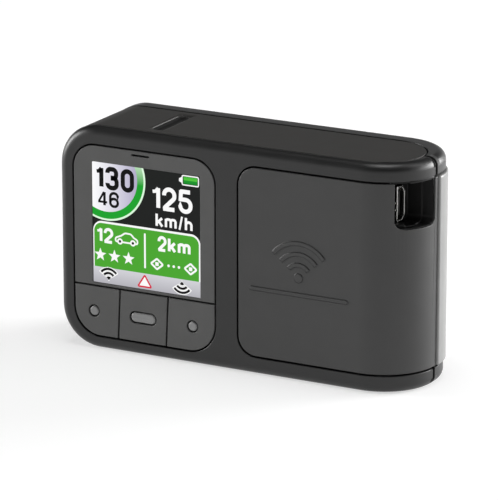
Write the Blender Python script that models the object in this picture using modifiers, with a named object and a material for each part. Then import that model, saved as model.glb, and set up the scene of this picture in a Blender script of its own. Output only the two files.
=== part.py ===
"""Pocket radar detector for a car, built as the separate pieces it comes apart into.

The housing is a block with two corners rounded at its left end and a half-round right end. A front
frame, a centre shell and a rear shell are stacked from front to back, and two covers close the right
half. The row frame has X along the length, Y from front to back and Z up, with the origin under the
middle. Pieces are placed in a corner frame: X from the left end, Y from the front face, Z from the base.
"""

import math

import bmesh
import bpy
from mathutils import Matrix, Vector

MM = 0.001

# Housing, outside.
LENGTH = 83.3 * MM
DEPTH = 25.2 * MM
LEFT_CORNER_R = 9.0 * MM
END_R = 12.0 * MM
EDGE_R = 2.0 * MM
WALL = 1.8 * MM

# Splits between the shells.
SEAM = 0.36 * MM
SHELL_RECESS = 0.30 * MM
FRONT_SPLIT = 2.1 * MM
REAR_SPLIT = DEPTH - 4.85 * MM
LID_END = 3.0 * MM
BAND_SPLIT = 11.55 * MM
BAND_SEAM = 0.55 * MM
FIT_GAP = 0.30 * MM

# Display panel: bezel above, three keys below. The screen and the keys set the housing's height.
RIM = 3.75 * MM
PANEL_LEFT = 3.45 * MM
PANEL_LOW = 2.75 * MM
PANEL_TOP_R = 5.5 * MM
PANEL_LOW_R = 6.5 * MM
BEZEL_THICK = 1.8 * MM
BEZEL_SIDE = 3.75 * MM
BEZEL_TOP = 3.85 * MM
KEY_TALL = 11.35 * MM
KEY_LINE = PANEL_LOW + KEY_TALL
SCREEN_WIDE = 26.1 * MM
SCREEN_TALL = 26.55 * MM
SCREEN_LEFT = 8.2 * MM
SCREEN_LOW = KEY_LINE + 0.75 * MM
SCREEN_CORNER_R = 0.3 * MM
SCREEN_LIP = 0.5 * MM
WINDOW_LAP = 0.45 * MM
WINDOW_THICK = 0.8 * MM
PANEL_RIGHT = SCREEN_LEFT + SCREEN_WIDE + BEZEL_SIDE
PANEL_HIGH = SCREEN_LOW + SCREEN_TALL + BEZEL_TOP
HEIGHT = PANEL_HIGH + RIM
SLOT_X = SCREEN_LEFT + 11.8 * MM
SLOT_Z = PANEL_HIGH - 1.3 * MM
SLOT_LONG = 4.2 * MM
SLOT_WIDE = 0.4 * MM

# Covers over the right half, in front and behind.
CENTRE_BAR = 4.95 * MM
COVER_LEFT = PANEL_RIGHT + CENTRE_BAR
COVER_LOW = 3.8 * MM
COVER_HIGH = HEIGHT - RIM
COVER_CORNER_R = 4.5 * MM
COVER_WALL = 1.5 * MM
COVER_SPLIT = 12.3 * MM
REAR_COVER_PROUD = 0.5 * MM

# Front keys.
KEY_WIDE = (PANEL_RIGHT - PANEL_LEFT) / 3
KEY_SEAM_SHIFT = 0.15 * MM
KEY_SEAM_TOPS = (PANEL_LEFT + KEY_WIDE - KEY_SEAM_SHIFT, PANEL_LEFT + 2 * KEY_WIDE)
KEY_SEAM_LEAN = 0.5 * MM
KEY_THICK = 1.8 * MM
PIP_SHIFTS = (-0.8 * MM, -0.35 * MM, 0.1 * MM)
PIP_X = [PANEL_LEFT + KEY_WIDE * (place + 0.5) + shift for place, shift in enumerate(PIP_SHIFTS)]
PIP_Z = PANEL_LOW + KEY_TALL / 2
PIP_WIDE = 2.1 * MM
PIP_LONG = (2.1 * MM, 5.9 * MM, 2.1 * MM)
PIP_RING = 0.30 * MM
PIP_DEEP = 1.0 * MM
KEY_BOARD_TALL = 8.0 * MM
KEY_BOARD_THICK = 0.8 * MM

# Tact switches under the keys and the bar.
PLUNGER_R = 0.8 * MM
PLUNGER_LONG = 1.3 * MM
PLUNGER_SHOWN = 0.7 * MM
WELL_ROOM = 0.8 * MM
SWITCH_SIDE = 4.2 * MM
SWITCH_THICK = 1.9 * MM
SWITCH_CORNER_R = 0.3 * MM

# On/off bar in the top face.
BAR_X = 21.2 * MM
BAR_WIDE = 2.6 * MM
BAR_FRONT = 5.0 * MM
BAR_REAR_LAND = 2.75 * MM
BAR_THICK = 2.0 * MM
BAR_SUNK = 0.65 * MM
BAR_FLANGE_THICK = 0.8 * MM
BAR_FLANGE_REACH = 1.0 * MM
SCOOP_LEFT = 3.4 * MM
SCOOP_RIGHT = 2.0 * MM
SCOOP_MARGIN = 0.9 * MM
SCOOP_DEEP = 0.6 * MM

# Bay for the cable plug, and the socket in it.
BAY_FRONT = 2.3 * MM
BAY_BACK = 11.0 * MM
BAY_TALL = 10.25 * MM
BAY_LOW = COVER_HIGH - BAY_TALL
BAY_CORNER_R = 1.8 * MM
BAY_STEP = LENGTH - 2.8 * MM
BAY_LEDGE = 0.6 * MM
BAY_WALL = 1.1 * MM
BAY_BASE = 2.2 * MM
BAY_ROOF = COVER_HIGH - 0.35 * MM
SOCKET_X = LENGTH - 6.3 * MM
SOCKET_Y = 8.0 * MM
SOCKET_Z = COVER_HIGH - 5.95 * MM
SOCKET_TURN = math.radians(15)
SOCKET_TALL = 7.5 * MM
SOCKET_WIDE = 2.6 * MM
SOCKET_DEEP = 5.2 * MM
SOCKET_BACK = 0.5 * MM
SOCKET_CHAMFER = 0.9 * MM
SOCKET_CHAMFER_TALL = 1.17 * MM
SOCKET_CORNER_R = 0.2 * MM
SOCKET_WALL = 0.35 * MM
SOCKET_PROUD = 0.4 * MM
TONGUE_THICK = 0.6 * MM
TONGUE_TALL = 5.0 * MM
TONGUE_SHORT = 0.6 * MM
USB_BOARD_TALL = 9.0 * MM
USB_BOARD_CLEAR = 1.0 * MM

# Boards and what they carry.
BOARD_Y = 6.4 * MM
BOARD_THICK = 1.0 * MM
BOARD_LEFT = 4.5 * MM
BOARD_RIGHT = LENGTH - 13.3 * MM
BOARD_LOW = 7.4 * MM
BOARD_HIGH = HEIGHT - 7.4 * MM
LCD_MARGIN = 1.6 * MM
LCD_THICK = 1.3 * MM
TRAY_THICK = 1.5 * MM
BOARD_CORNER_R = 1.5 * MM
SENSOR_WIDE = 2.4 * MM
SENSOR_TALL = 1.2 * MM
SENSOR_THICK = 0.8 * MM
TRAY_EDGE_R = 0.3 * MM
SHIELD_THICK = 2.2 * MM
SHIELD_EDGE_R = 0.3 * MM
# Each shield: name, left, low, width, height.
SHIELDS = (
    ("modem_shield", BOARD_RIGHT - 28.0 * MM, 12.0 * MM, 24.0 * MM, 24.0 * MM),
    ("processor_shield", 10.0 * MM, 12.0 * MM, 16.0 * MM, 16.0 * MM),
)
BATTERY_THICK = 6.0 * MM
BATTERY_SIDE = 30.0 * MM
BATTERY_INSET = 1.5 * MM
BATTERY_CLEAR = 3.0 * MM
BATTERY_EDGE_R = 1.2 * MM
PATCH_X = LENGTH - 31.3 * MM
PATCH_Y = 14.0 * MM
PATCH_SIDE = 13.0 * MM
PATCH_THICK = 4.0 * MM
PATCH_DROP = 0.8 * MM
PATCH_EDGE_R = 0.4 * MM
ANTENNA_LOW = (LENGTH - 10.3 * MM, 6.5 * MM, 6.0 * MM)
ANTENNA_SIZE = (1.2 * MM, 11.0 * MM, 24.0 * MM)

# Loudspeaker behind the rear cover, and the grille in front of it.
SPEAKER_X = LENGTH - 25.3 * MM
SPEAKER_Z = 23.0 * MM
SPEAKER_R = 10.0 * MM
SPEAKER_DEEP = 4.4 * MM
RIM_STEP = 0.7 * MM
WELL_DEEP = 2.6 * MM
MAGNET_SHARE = 0.6
CONE_DROP = 1.6 * MM
CONE_THICK = 0.3 * MM
GASKET_THICK = 0.8 * MM
GASKET_WIDE = 1.4 * MM
GRILLE_PITCH = 3.0 * MM
GRILLE_HOLE_R = 0.75 * MM
GRILLE_REACH = 7.0 * MM

# Steel disc for the magnetic holder, let into the back.
DISC_X = 22.0 * MM
DISC_Z = HEIGHT / 2
DISC_R = 9.0 * MM
DISC_THICK = 0.8 * MM

# Screws that hold the rear shell to the posts of the centre shell.
SCREW_X = (11.5 * MM, COVER_LEFT - 4.5 * MM)
SCREW_INSET_Z = 4.3 * MM
SCREW_HEAD_R = 1.5 * MM
SCREW_HEAD_THICK = 0.8 * MM
SCREW_SHANK_R = 0.8 * MM
SCREW_LONG = 6.5 * MM
SCREW_SINK = 1.2 * MM
CROSS_SHARE = 0.6
CROSS_WIDE = 0.4 * MM
CROSS_DEEP = 0.5 * MM
POST_R = 2.1 * MM
POST_LONG = 7.5 * MM
POST_FLOOR = 0.8 * MM
RIB_THICK = 1.6 * MM

# Facets.
ARC_STEPS = 8
END_STEPS = 12
EDGE_STEPS = 4
SMALL_STEPS = 4
TURN_STEPS = 20
DISC_STEPS = 36
GRILLE_STEPS = 12
SMALL_R = 0.2 * MM
SHARP_ANGLE = math.radians(45)
SHADE_ANGLE = math.radians(35)
PARALLEL = 0.001

# How far a cutter runs past what it cuts, and the distance under which points are merged.
OVERRUN = 5.0 * MM
WELD = 0.000001

TOTAL_LENGTH = LENGTH + REAR_COVER_PROUD
TOTAL_DEPTH = DEPTH + REAR_COVER_PROUD
INNER_TOP = HEIGHT - WALL
INNER_BACK = DEPTH - WALL
BAR_BACK = REAR_SPLIT - BAR_REAR_LAND


def clear_scene():
    for obj in list(bpy.data.objects):
        bpy.data.objects.remove(obj, do_unlink=True)


def new_collection(name):
    collection = bpy.data.collections.new(name)
    bpy.context.scene.collection.children.link(collection)
    return collection


clear_scene()
PARTS = new_collection("radar_detector")
CUTTERS = new_collection("cutters")
CORNER = bpy.data.objects.new("housing_corner", None)
CORNER.location = (-TOTAL_LENGTH / 2, -TOTAL_DEPTH / 2, 0)
PARTS.objects.link(CORNER)


# ---------------------------------------------------------------- looks


def look(name, colour, roughness, metallic=0.0):
    """A Principled material: linear colour, roughness and metallic value."""
    material = bpy.data.materials.new(name)
    material.use_nodes = True
    shader = material.node_tree.nodes["Principled BSDF"]
    shader.inputs["Base Color"].default_value = (*colour, 1)
    shader.inputs["Roughness"].default_value = roughness
    shader.inputs["Metallic"].default_value = metallic
    return material


FRAME_GREY = (0.045, 0.045, 0.044)
COVER_GREY = (0.065, 0.065, 0.064)
PANEL_GREY = (0.095, 0.095, 0.093)
PIP_GREY = (0.27, 0.27, 0.27)
BLACK = (0.012, 0.012, 0.012)
STEEL = (0.60, 0.60, 0.60)
DARK_STEEL = (0.25, 0.25, 0.26)
POUCH_GREY = (0.35, 0.35, 0.37)
CERAMIC = (0.45, 0.40, 0.30)
BOARD_GREEN = (0.02, 0.12, 0.05)


# ---------------------------------------------------------------- outlines


def rounded(corners, radii, steps=ARC_STEPS):
    """Outline through the corners, anticlockwise, each rounded by its own radius."""
    outline = []
    count = len(corners)
    for index, corner in enumerate(corners):
        here = Vector(corner)
        if radii[index] <= 0:
            outline.append(here)
            continue
        back = (Vector(corners[index - 1]) - here).normalized()
        ahead = (Vector(corners[(index + 1) % count]) - here).normalized()
        half = back.angle(ahead) / 2
        centre = here + (back + ahead).normalized() * radii[index] / math.sin(half)
        spoke = here + back * radii[index] / math.tan(half) - centre
        turn = math.pi - 2 * half
        for step in range(steps + 1):
            outline.append(centre + Matrix.Rotation(turn * step / steps, 2) @ spoke)
    return outline


def rectangle(left, low, right, high, radii=(0, 0, 0, 0), steps=ARC_STEPS):
    """Radii run from the lower left corner anticlockwise."""
    return rounded([(left, low), (right, low), (right, high), (left, high)], radii, steps)


def circle(x, y, radius, steps=TURN_STEPS):
    turns = [2 * math.pi * step / steps for step in range(steps)]
    return [Vector((x + radius * math.cos(turn), y + radius * math.sin(turn))) for turn in turns]


# ---------------------------------------------------------------- solids


def own(obj, collection=CUTTERS):
    """Put an object in the corner frame, as a cutter until it is finished as a part."""
    for used in list(obj.users_collection):
        used.objects.unlink(obj)
    collection.objects.link(obj)
    obj.parent = CORNER
    obj.hide_render = collection is CUTTERS
    obj.display_type = "WIRE" if collection is CUTTERS else "TEXTURED"
    return obj


def from_bmesh(name, bm):
    mesh = bpy.data.meshes.new(name)
    bm.to_mesh(mesh)
    bm.free()
    return own(bpy.data.objects.new(name, mesh))


# Turns a flat outline so that its thickness runs along the named axis.
FACING = {
    "X": Matrix(((0, 0, 1), (1, 0, 0), (0, 1, 0))).to_4x4(),
    "Y": Matrix(((1, 0, 0), (0, 0, -1), (0, 1, 0))).to_4x4(),
    "Z": Matrix.Identity(4),
}
AXIS = {"X": Vector((1, 0, 0)), "Y": Vector((0, 1, 0)), "Z": Vector((0, 0, 1))}
FACING_BACK = Matrix(((1, 0, 0), (0, 0, 1), (0, -1, 0))).to_4x4()


def plate(name, axis, start, end, *outlines):
    """Flat solid from start to end along an axis. Outlines after the first are openings in it."""
    curve = bpy.data.curves.new(name, "CURVE")
    curve.dimensions = "2D"
    curve.fill_mode = "BOTH"
    curve.extrude = (end - start) / 2
    for outline in outlines:
        spline = curve.splines.new("POLY")
        spline.points.add(len(outline) - 1)
        for point, place in zip(spline.points, outline):
            point.co = (place[0], place[1], 0, 1)
        spline.use_cyclic_u = True
    drawn = bpy.data.objects.new(name, curve)
    CUTTERS.objects.link(drawn)
    evaluated = drawn.evaluated_get(bpy.context.evaluated_depsgraph_get())
    mesh = bpy.data.meshes.new_from_object(evaluated)
    bpy.data.objects.remove(drawn)
    bm = bmesh.new()
    bm.from_mesh(mesh)
    bmesh.ops.remove_doubles(bm, verts=bm.verts, dist=WELD)
    bmesh.ops.recalc_face_normals(bm, faces=bm.faces)
    bm.to_mesh(mesh)
    bm.free()
    solid = bpy.data.objects.new(name, mesh)
    solid.matrix_basis = Matrix.Translation(AXIS[axis] * (start + end) / 2) @ FACING[axis]
    return own(solid)


def box(name, low, high):
    """Plain box between two corners, with its origin at its middle."""
    low = Vector(low)
    high = Vector(high)
    bm = bmesh.new()
    bmesh.ops.create_cube(bm, size=1)
    bmesh.ops.scale(bm, vec=high - low, verts=bm.verts)
    solid = from_bmesh(name, bm)
    solid.location = (low + high) / 2
    return solid


def turned(name, profile, place, facing, steps=TURN_STEPS):
    """Solid of revolution. The profile lists (radius, height) from the top down its outer side."""
    mesh = bpy.data.meshes.new(name)
    points = [(radius, 0, height) for radius, height in profile]
    mesh.from_pydata(points, [(i, i + 1) for i in range(len(points) - 1)], [])
    solid = own(bpy.data.objects.new(name, mesh))
    screw = solid.modifiers.new("turn", "SCREW")
    screw.steps = steps
    screw.render_steps = steps
    screw.use_merge_vertices = True
    screw.merge_threshold = WELD
    solid.matrix_basis = Matrix.Translation(place) @ facing
    return solid


def round_edges(bm, edges, radius, steps):
    bmesh.ops.bevel(bm, geom=edges, offset=radius, segments=steps, profile=0.5, affect="EDGES")


def edges_along(bm, axis):
    """Edges that run along one axis: 0 for X, 1 for Y, 2 for Z."""
    for edge in bm.edges:
        span = edge.verts[1].co - edge.verts[0].co
        if math.isclose(abs(span[axis]), span.length, rel_tol=PARALLEL):
            yield edge


def housing(name, inset):
    """The housing's outer form drawn in by inset, or grown where inset is negative."""
    size = Vector((LENGTH, DEPTH, HEIGHT))
    middle = size / 2
    bm = bmesh.new()
    bmesh.ops.create_cube(bm, size=1)
    bmesh.ops.scale(bm, vec=size - Vector((2, 2, 2)) * inset, verts=bm.verts)
    bmesh.ops.translate(bm, vec=middle, verts=bm.verts)
    left_corners = [edge for edge in edges_along(bm, 1) if edge.verts[0].co.x < middle.x]
    round_edges(bm, left_corners, LEFT_CORNER_R - inset, ARC_STEPS)
    end_corners = [edge for edge in edges_along(bm, 2) if edge.verts[0].co.x > middle.x]
    round_edges(bm, end_corners, END_R - inset, END_STEPS)
    if inset < EDGE_R:
        sharp = [edge for edge in bm.edges if edge.calc_face_angle() > SHARP_ANGLE]
        round_edges(bm, sharp, EDGE_R - inset, EDGE_STEPS)
    return from_bmesh(name, bm)


def boolean(obj, operation, other):
    modifier = obj.modifiers.new(operation.lower(), "BOOLEAN")
    modifier.operation = operation
    modifier.object = other
    modifier.solver = "EXACT"


def cut(obj, *others):
    for other in others:
        boolean(obj, "DIFFERENCE", other)


def keep(obj, *others):
    for other in others:
        boolean(obj, "INTERSECT", other)


def join(obj, *others):
    for other in others:
        boolean(obj, "UNION", other)


def soften(obj, width, steps=2):
    bevel = obj.modifiers.new("bevel", "BEVEL")
    bevel.width = width
    bevel.segments = steps
    bevel.limit_method = "ANGLE"
    bevel.angle_limit = SHADE_ANGLE


def part(obj, name, material, origin=None):
    """Make a solid a named piece of the detector, its origin moved to a point where one is given."""
    own(obj, PARTS)
    obj.name = name
    obj.data.materials.clear()
    obj.data.materials.append(material)
    if origin is not None:
        placed = obj.matrix_basis.copy()
        placed.translation = origin
        obj.data.transform(placed.inverted() @ obj.matrix_basis)
        obj.matrix_basis = placed
    obj.data.shade_smooth()
    obj.data.set_sharp_from_angle(angle=SHADE_ANGLE)
    return obj


# ---------------------------------------------------------------- shells


def shell_zone(name, grow):
    """Plan of the centre shell, from the front split to the rear one with a half-round right end."""
    front = FRONT_SPLIT - grow
    rear = REAR_SPLIT + grow
    end = LENGTH - LID_END + grow
    end_r = (rear - front) / 2 - WELD
    plan = rectangle(-OVERRUN, front, end, rear, (0, end_r, end_r, 0), END_STEPS)
    return plate(name, "Z", -OVERRUN, HEIGHT + OVERRUN, plan)


def band_zone(name, front, rear):
    """Everything between two depths, the full length and height of the housing."""
    low = (-OVERRUN, front, -OVERRUN)
    return box(name, low, (LENGTH + OVERRUN, rear, HEIGHT + OVERRUN))


def cover_outline(shrink):
    radius = COVER_CORNER_R - shrink
    low = COVER_LOW + shrink
    high = COVER_HIGH - shrink
    return rectangle(COVER_LEFT + shrink, low, LENGTH + OVERRUN, high, (radius, 0, 0, radius))


def panel_outline(shrink, low=PANEL_LOW, high=PANEL_HIGH):
    low_r = PANEL_LOW_R - shrink if low == PANEL_LOW else 0
    top_r = PANEL_TOP_R - shrink if high == PANEL_HIGH else 0
    left = PANEL_LEFT + shrink
    right = PANEL_RIGHT - shrink
    return rectangle(left, low + shrink, right, high - shrink, (low_r, low_r, top_r, top_r))


def screw_places():
    for x in SCREW_X:
        for z in (SCREW_INSET_Z, HEIGHT - SCREW_INSET_Z):
            yield x, z


def add_screw_post(shell, index, x, z):
    """Post with a pilot hole, tied to the nearest wall of the shell by a rib."""
    tip = INNER_BACK - FIT_GAP
    foot = tip - POST_LONG
    rib_end = REAR_SPLIT - SEAM
    wall_z = SHELL_RECESS + WALL / 2
    if z > HEIGHT / 2:
        wall_z = HEIGHT - wall_z
    low_z, high_z = sorted((z, wall_z))
    rib_low = (x - RIB_THICK / 2, foot, low_z)
    join(shell, plate(f"post_{index}", "Y", foot, tip, circle(x, z, POST_R)))
    join(shell, box(f"rib_{index}", rib_low, (x + RIB_THICK / 2, rib_end, high_z)))
    pilot = circle(x, z, SCREW_SHANK_R + FIT_GAP)
    cut(shell, plate(f"pilot_{index}", "Y", foot + POST_FLOOR, DEPTH, pilot))


def build_shells():
    plastic = look("frame plastic", FRAME_GREY, 0.55)
    cavity = housing("cavity", WALL)
    around_shell = shell_zone("around_shell", SEAM / 2)
    cover_hole = plate("cover_hole", "Y", -OVERRUN, DEPTH + OVERRUN, cover_outline(0))
    panel_hole = plate("panel_hole", "Y", -OVERRUN, FRONT_SPLIT + OVERRUN, panel_outline(0))

    front = housing("front_frame", 0)
    keep(front, band_zone("front_zone", -OVERRUN, BAND_SPLIT - BAND_SEAM / 2))
    cut(front, around_shell, cavity, panel_hole, cover_hole)
    part(front, "front_frame", plastic)

    centre = housing("centre_shell", SHELL_RECESS)
    keep(centre, shell_zone("centre_zone", -SEAM / 2))
    cut(centre, cavity)
    for index, (x, z) in enumerate(screw_places()):
        add_screw_post(centre, index, x, z)
    cut(centre, bar_scoop(), bar_slot())
    part(centre, "centre_shell", look("shell plastic", FRAME_GREY, 0.6))

    rear = housing("rear_shell", 0)
    keep(rear, band_zone("rear_zone", BAND_SPLIT + BAND_SEAM / 2, DEPTH + OVERRUN))
    cut(rear, around_shell, cavity, cover_hole)
    for index, (x, z) in enumerate(screw_places()):
        head = circle(x, z, SCREW_HEAD_R + FIT_GAP)
        shank = circle(x, z, SCREW_SHANK_R + FIT_GAP)
        cut(rear, plate(f"sink_{index}", "Y", DEPTH - SCREW_SINK, DEPTH + OVERRUN, head))
        cut(rear, plate(f"bore_{index}", "Y", INNER_BACK - OVERRUN, DEPTH, shank))
    seat = circle(DISC_X, DISC_Z, DISC_R + FIT_GAP)
    cut(rear, plate("disc_seat", "Y", DEPTH - DISC_THICK - FIT_GAP, DEPTH + OVERRUN, seat))
    part(rear, "rear_shell", plastic)


def build_covers():
    plastic = look("cover plastic", COVER_GREY, 0.5)
    inside = housing("cover_inside", COVER_WALL)
    area = plate("cover_area", "Y", -OVERRUN, DEPTH + OVERRUN, cover_outline(SEAM))

    side = housing("side_cover", 0)
    keep(side, band_zone("side_zone", -OVERRUN, COVER_SPLIT - SEAM / 2), area)
    cut(side, inside, bay_mouth())
    part(side, "side_cover", plastic)

    rear = housing("rear_cover", -REAR_COVER_PROUD)
    keep(rear, band_zone("rear_cover_zone", COVER_SPLIT + SEAM / 2, DEPTH + OVERRUN), area)
    cut(rear, inside)
    for index, (x, z) in enumerate(grille_places()):
        hole = circle(x, z, GRILLE_HOLE_R, GRILLE_STEPS)
        cut(rear, plate(f"grille_hole_{index}", "Y", INNER_BACK - OVERRUN, DEPTH + OVERRUN, hole))
    part(rear, "rear_cover", look("rear cover plastic", COVER_GREY, 0.4))


def grille_places():
    """Holes on a triangular grid, those within reach of the loudspeaker's centre."""
    rows = int(GRILLE_REACH / GRILLE_PITCH) + 1
    for row in range(-rows, rows + 1):
        for column in range(-rows, rows + 1):
            across = (column + (row % 2) / 2) * GRILLE_PITCH
            up = row * GRILLE_PITCH * math.sqrt(3) / 2
            if math.hypot(across, up) <= GRILLE_REACH:
                yield SPEAKER_X + across, SPEAKER_Z + up


# ---------------------------------------------------------------- on/off bar


def bar_scoop():
    """Shallow hollow round the bar: a long easy slope on its left and a steep wall on its right."""
    left = BAR_X - SCOOP_LEFT
    right = BAR_X + SCOOP_RIGHT
    top = HEIGHT - SHELL_RECESS
    floor = top - SCOOP_DEEP
    profile = [(left, top), (right - SCOOP_DEEP / 2, floor), (right, top), (right, top + OVERRUN)]
    profile.append((left, top + OVERRUN))
    return plate("bar_scoop", "Y", BAR_FRONT - SCOOP_MARGIN, BAR_BACK + SCOOP_MARGIN, profile)


def bar_plan(grow):
    half = BAR_WIDE / 2 + grow
    radii = (half - WELD,) * 4
    return rectangle(BAR_X - half, BAR_FRONT - grow, BAR_X + half, BAR_BACK + grow, radii, SMALL_STEPS)


def bar_slot():
    return plate("bar_slot", "Z", INNER_TOP - OVERRUN, HEIGHT + OVERRUN, bar_plan(FIT_GAP))


def build_bar():
    plastic = look("bar plastic", FRAME_GREY, 0.5)
    top = HEIGHT - SHELL_RECESS - BAR_SUNK
    low = top - BAR_THICK
    middle = (BAR_FRONT + BAR_BACK) / 2
    bar = plate("on_off_bar", "Z", low, top, bar_plan(0))
    flange_low = INNER_TOP - FIT_GAP - BAR_FLANGE_THICK
    flange = plate("bar_flange", "Z", flange_low, INNER_TOP - FIT_GAP, bar_plan(BAR_FLANGE_REACH))
    join(bar, flange)
    part(bar, "on_off_bar", plastic, (BAR_X, middle, top))

    nib_high = min(low, flange_low) - FIT_GAP
    profile = rod_profile(PLUNGER_R, PLUNGER_LONG)
    nib = turned("on_off_plunger", profile, (BAR_X, middle, nib_high), FACING["Z"])
    part(nib, "on_off_plunger", look("plunger plastic", PIP_GREY, 0.4))
    switch_top = nib_high - PLUNGER_SHOWN
    switch = switch_body("on_off_switch", (BAR_X, middle, switch_top), FACING["Z"])
    part(switch, "on_off_switch", look("switch metal", STEEL, 0.35, 1.0))


# ---------------------------------------------------------------- switches


def rod_profile(radius, length):
    """A rod hanging from its top face."""
    return [(0, 0), (radius, 0), (radius, -length), (0, -length)]


def switch_body(name, face, facing):
    """Square switch behind or below its face, with a well for the plunger."""
    half = SWITCH_SIDE / 2
    square = rectangle(-half, -half, half, half, (SWITCH_CORNER_R,) * 4, SMALL_STEPS)
    body = plate(name, "Z", -SWITCH_THICK, 0, square)
    well = circle(0, 0, PLUNGER_R + FIT_GAP, GRILLE_STEPS)
    hole = plate(f"{name}_well", "Z", PLUNGER_SHOWN - PLUNGER_LONG - WELL_ROOM, OVERRUN, well)
    for solid in (body, hole):
        solid.matrix_basis = Matrix.Translation(face) @ facing @ solid.matrix_basis
    cut(body, hole)
    return body


# ---------------------------------------------------------------- display panel


def build_display():
    clear = look("window acrylic", BLACK, 0.08)
    bezel = plate("display_bezel", "Y", 0, BEZEL_THICK, panel_outline(SEAM, low=KEY_LINE - SEAM / 2))
    right = SCREEN_LEFT + SCREEN_WIDE
    high = SCREEN_LOW + SCREEN_TALL
    radii = (SCREEN_CORNER_R,) * 4
    view = rectangle(SCREEN_LEFT, SCREEN_LOW, right, high, radii, SMALL_STEPS)
    cut(bezel, plate("screen_hole", "Y", -OVERRUN, OVERRUN, view))
    lap = WINDOW_LAP + FIT_GAP
    rebate = rectangle(SCREEN_LEFT - lap, SCREEN_LOW - lap, right + lap, high + lap)
    cut(bezel, plate("window_rebate", "Y", SCREEN_LIP, OVERRUN, rebate))
    half = SLOT_LONG / 2
    slot = rectangle(SLOT_X - half, SLOT_Z - SLOT_WIDE / 2, SLOT_X + half, SLOT_Z + SLOT_WIDE / 2)
    cut(bezel, plate("sensor_slot", "Y", -OVERRUN, OVERRUN, slot))
    part(bezel, "display_bezel", look("panel plastic", PANEL_GREY, 0.5))

    lap = WINDOW_LAP
    window_front = SCREEN_LIP + FIT_GAP
    pane = rectangle(SCREEN_LEFT - lap, SCREEN_LOW - lap, right + lap, high + lap)
    window = plate("display_window", "Y", window_front, window_front + WINDOW_THICK, pane)
    part(window, "display_window", clear)

    lcd_front = max(BEZEL_THICK, window_front + WINDOW_THICK) + FIT_GAP
    margin = LCD_MARGIN
    low = (SCREEN_LEFT - margin, lcd_front, SCREEN_LOW)
    lcd = box("lcd_cell", low, (right + margin, lcd_front + LCD_THICK, high + margin))
    part(lcd, "lcd_cell", look("lcd glass", BLACK, 0.1))

    tray_front = lcd_front + LCD_THICK + FIT_GAP
    low = (SCREEN_LEFT - margin, tray_front, SCREEN_LOW)
    tray = box("backlight_tray", low, (right + margin, tray_front + TRAY_THICK, high + margin))
    soften(tray, TRAY_EDGE_R)
    part(tray, "backlight_tray", look("tray plastic", STEEL, 0.4))

    low = (SLOT_X - SENSOR_WIDE / 2, lcd_front, high + margin + FIT_GAP)
    back = lcd_front + SENSOR_THICK
    sensor = box("light_sensor", low, (SLOT_X + SENSOR_WIDE / 2, back, low[2] + SENSOR_TALL))
    part(sensor, "light_sensor", look("sensor resin", BLACK, 0.2))


def key_outlines():
    """Outline of each key: the outer two follow the panel's lower corners, the seams lean a little."""
    low = PANEL_LOW + SEAM
    high = KEY_LINE - SEAM / 2
    corner = PANEL_LOW_R - SEAM
    edges = [(PANEL_LEFT + SEAM, PANEL_LEFT + SEAM)]
    for top in KEY_SEAM_TOPS:
        edges.append((top - KEY_SEAM_LEAN, top))
    edges.append((PANEL_RIGHT - SEAM, PANEL_RIGHT - SEAM))
    for index in range(3):
        inner_left = SEAM / 2 if index else 0
        inner_right = SEAM / 2 if index < 2 else 0
        left_low, left_high = (x + inner_left for x in edges[index])
        right_low, right_high = (x - inner_right for x in edges[index + 1])
        corners = [(left_low, low), (right_low, low), (right_high, high), (left_high, high)]
        yield rounded(corners, [corner if index == 0 else 0, corner if index == 2 else 0, 0, 0])


def pip_outline(x, long, grow):
    """Insert with round ends, grown all round for its seat."""
    half = long / 2 + grow
    radius = PIP_WIDE / 2 + grow
    return rectangle(x - half, PIP_Z - radius, x + half, PIP_Z + radius, (radius - WELD,) * 4)


def build_keys():
    plastic = look("key plastic", PANEL_GREY, 0.5)
    lit = look("key insert", PIP_GREY, 0.35)
    metal = look("key switch metal", STEEL, 0.35, 1.0)
    nib_front = KEY_THICK + FIT_GAP
    for side, outline, x, long in zip(("left", "middle", "right"), key_outlines(), PIP_X, PIP_LONG):
        key = plate(f"key_{side}", "Y", 0, KEY_THICK, outline)
        seat = pip_outline(x, long, PIP_RING)
        cut(key, plate(f"pip_seat_{side}", "Y", -OVERRUN, PIP_DEEP + FIT_GAP, seat))
        part(key, f"key_{side}", plastic, (x, 0, PIP_Z))

        pip = plate(f"key_insert_{side}", "Y", 0, PIP_DEEP, pip_outline(x, long, 0))
        part(pip, f"key_insert_{side}", lit, (x, 0, PIP_Z))

        profile = rod_profile(PLUNGER_R, PLUNGER_LONG)
        nib = turned(f"key_plunger_{side}", profile, (x, nib_front, PIP_Z), FACING["Y"])
        part(nib, f"key_plunger_{side}", lit)
        face = (x, nib_front + PLUNGER_SHOWN, PIP_Z)
        switch = switch_body(f"key_switch_{side}", face, FACING["Y"])
        part(switch, f"key_switch_{side}", metal)

    board_front = nib_front + PLUNGER_SHOWN + SWITCH_THICK + FIT_GAP
    low = (PIP_X[0] - SWITCH_SIDE, board_front, PIP_Z - KEY_BOARD_TALL / 2)
    high = (PIP_X[2] + SWITCH_SIDE, board_front + KEY_BOARD_THICK, PIP_Z + KEY_BOARD_TALL / 2)
    part(box("key_board", low, high), "key_board", look("key board", BOARD_GREEN, 0.4))


# ---------------------------------------------------------------- plug bay


def bay_frame():
    """Axes of the bay: X out through its mouth, turned a little towards the front, Z up."""
    turn = Matrix.Rotation(-SOCKET_TURN, 4, "Z")
    return Matrix.Translation((SOCKET_X, SOCKET_Y, 0)) @ turn


def bay_outline(shrink):
    radius = BAY_CORNER_R - shrink
    high = COVER_HIGH + OVERRUN
    low = BAY_LOW + shrink
    return rectangle(BAY_FRONT + shrink, low, BAY_BACK - shrink, high, (radius, radius, 0, 0))


def bay_mouth():
    return plate("bay_mouth", "X", SOCKET_X, LENGTH + OVERRUN, bay_outline(0))


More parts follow.
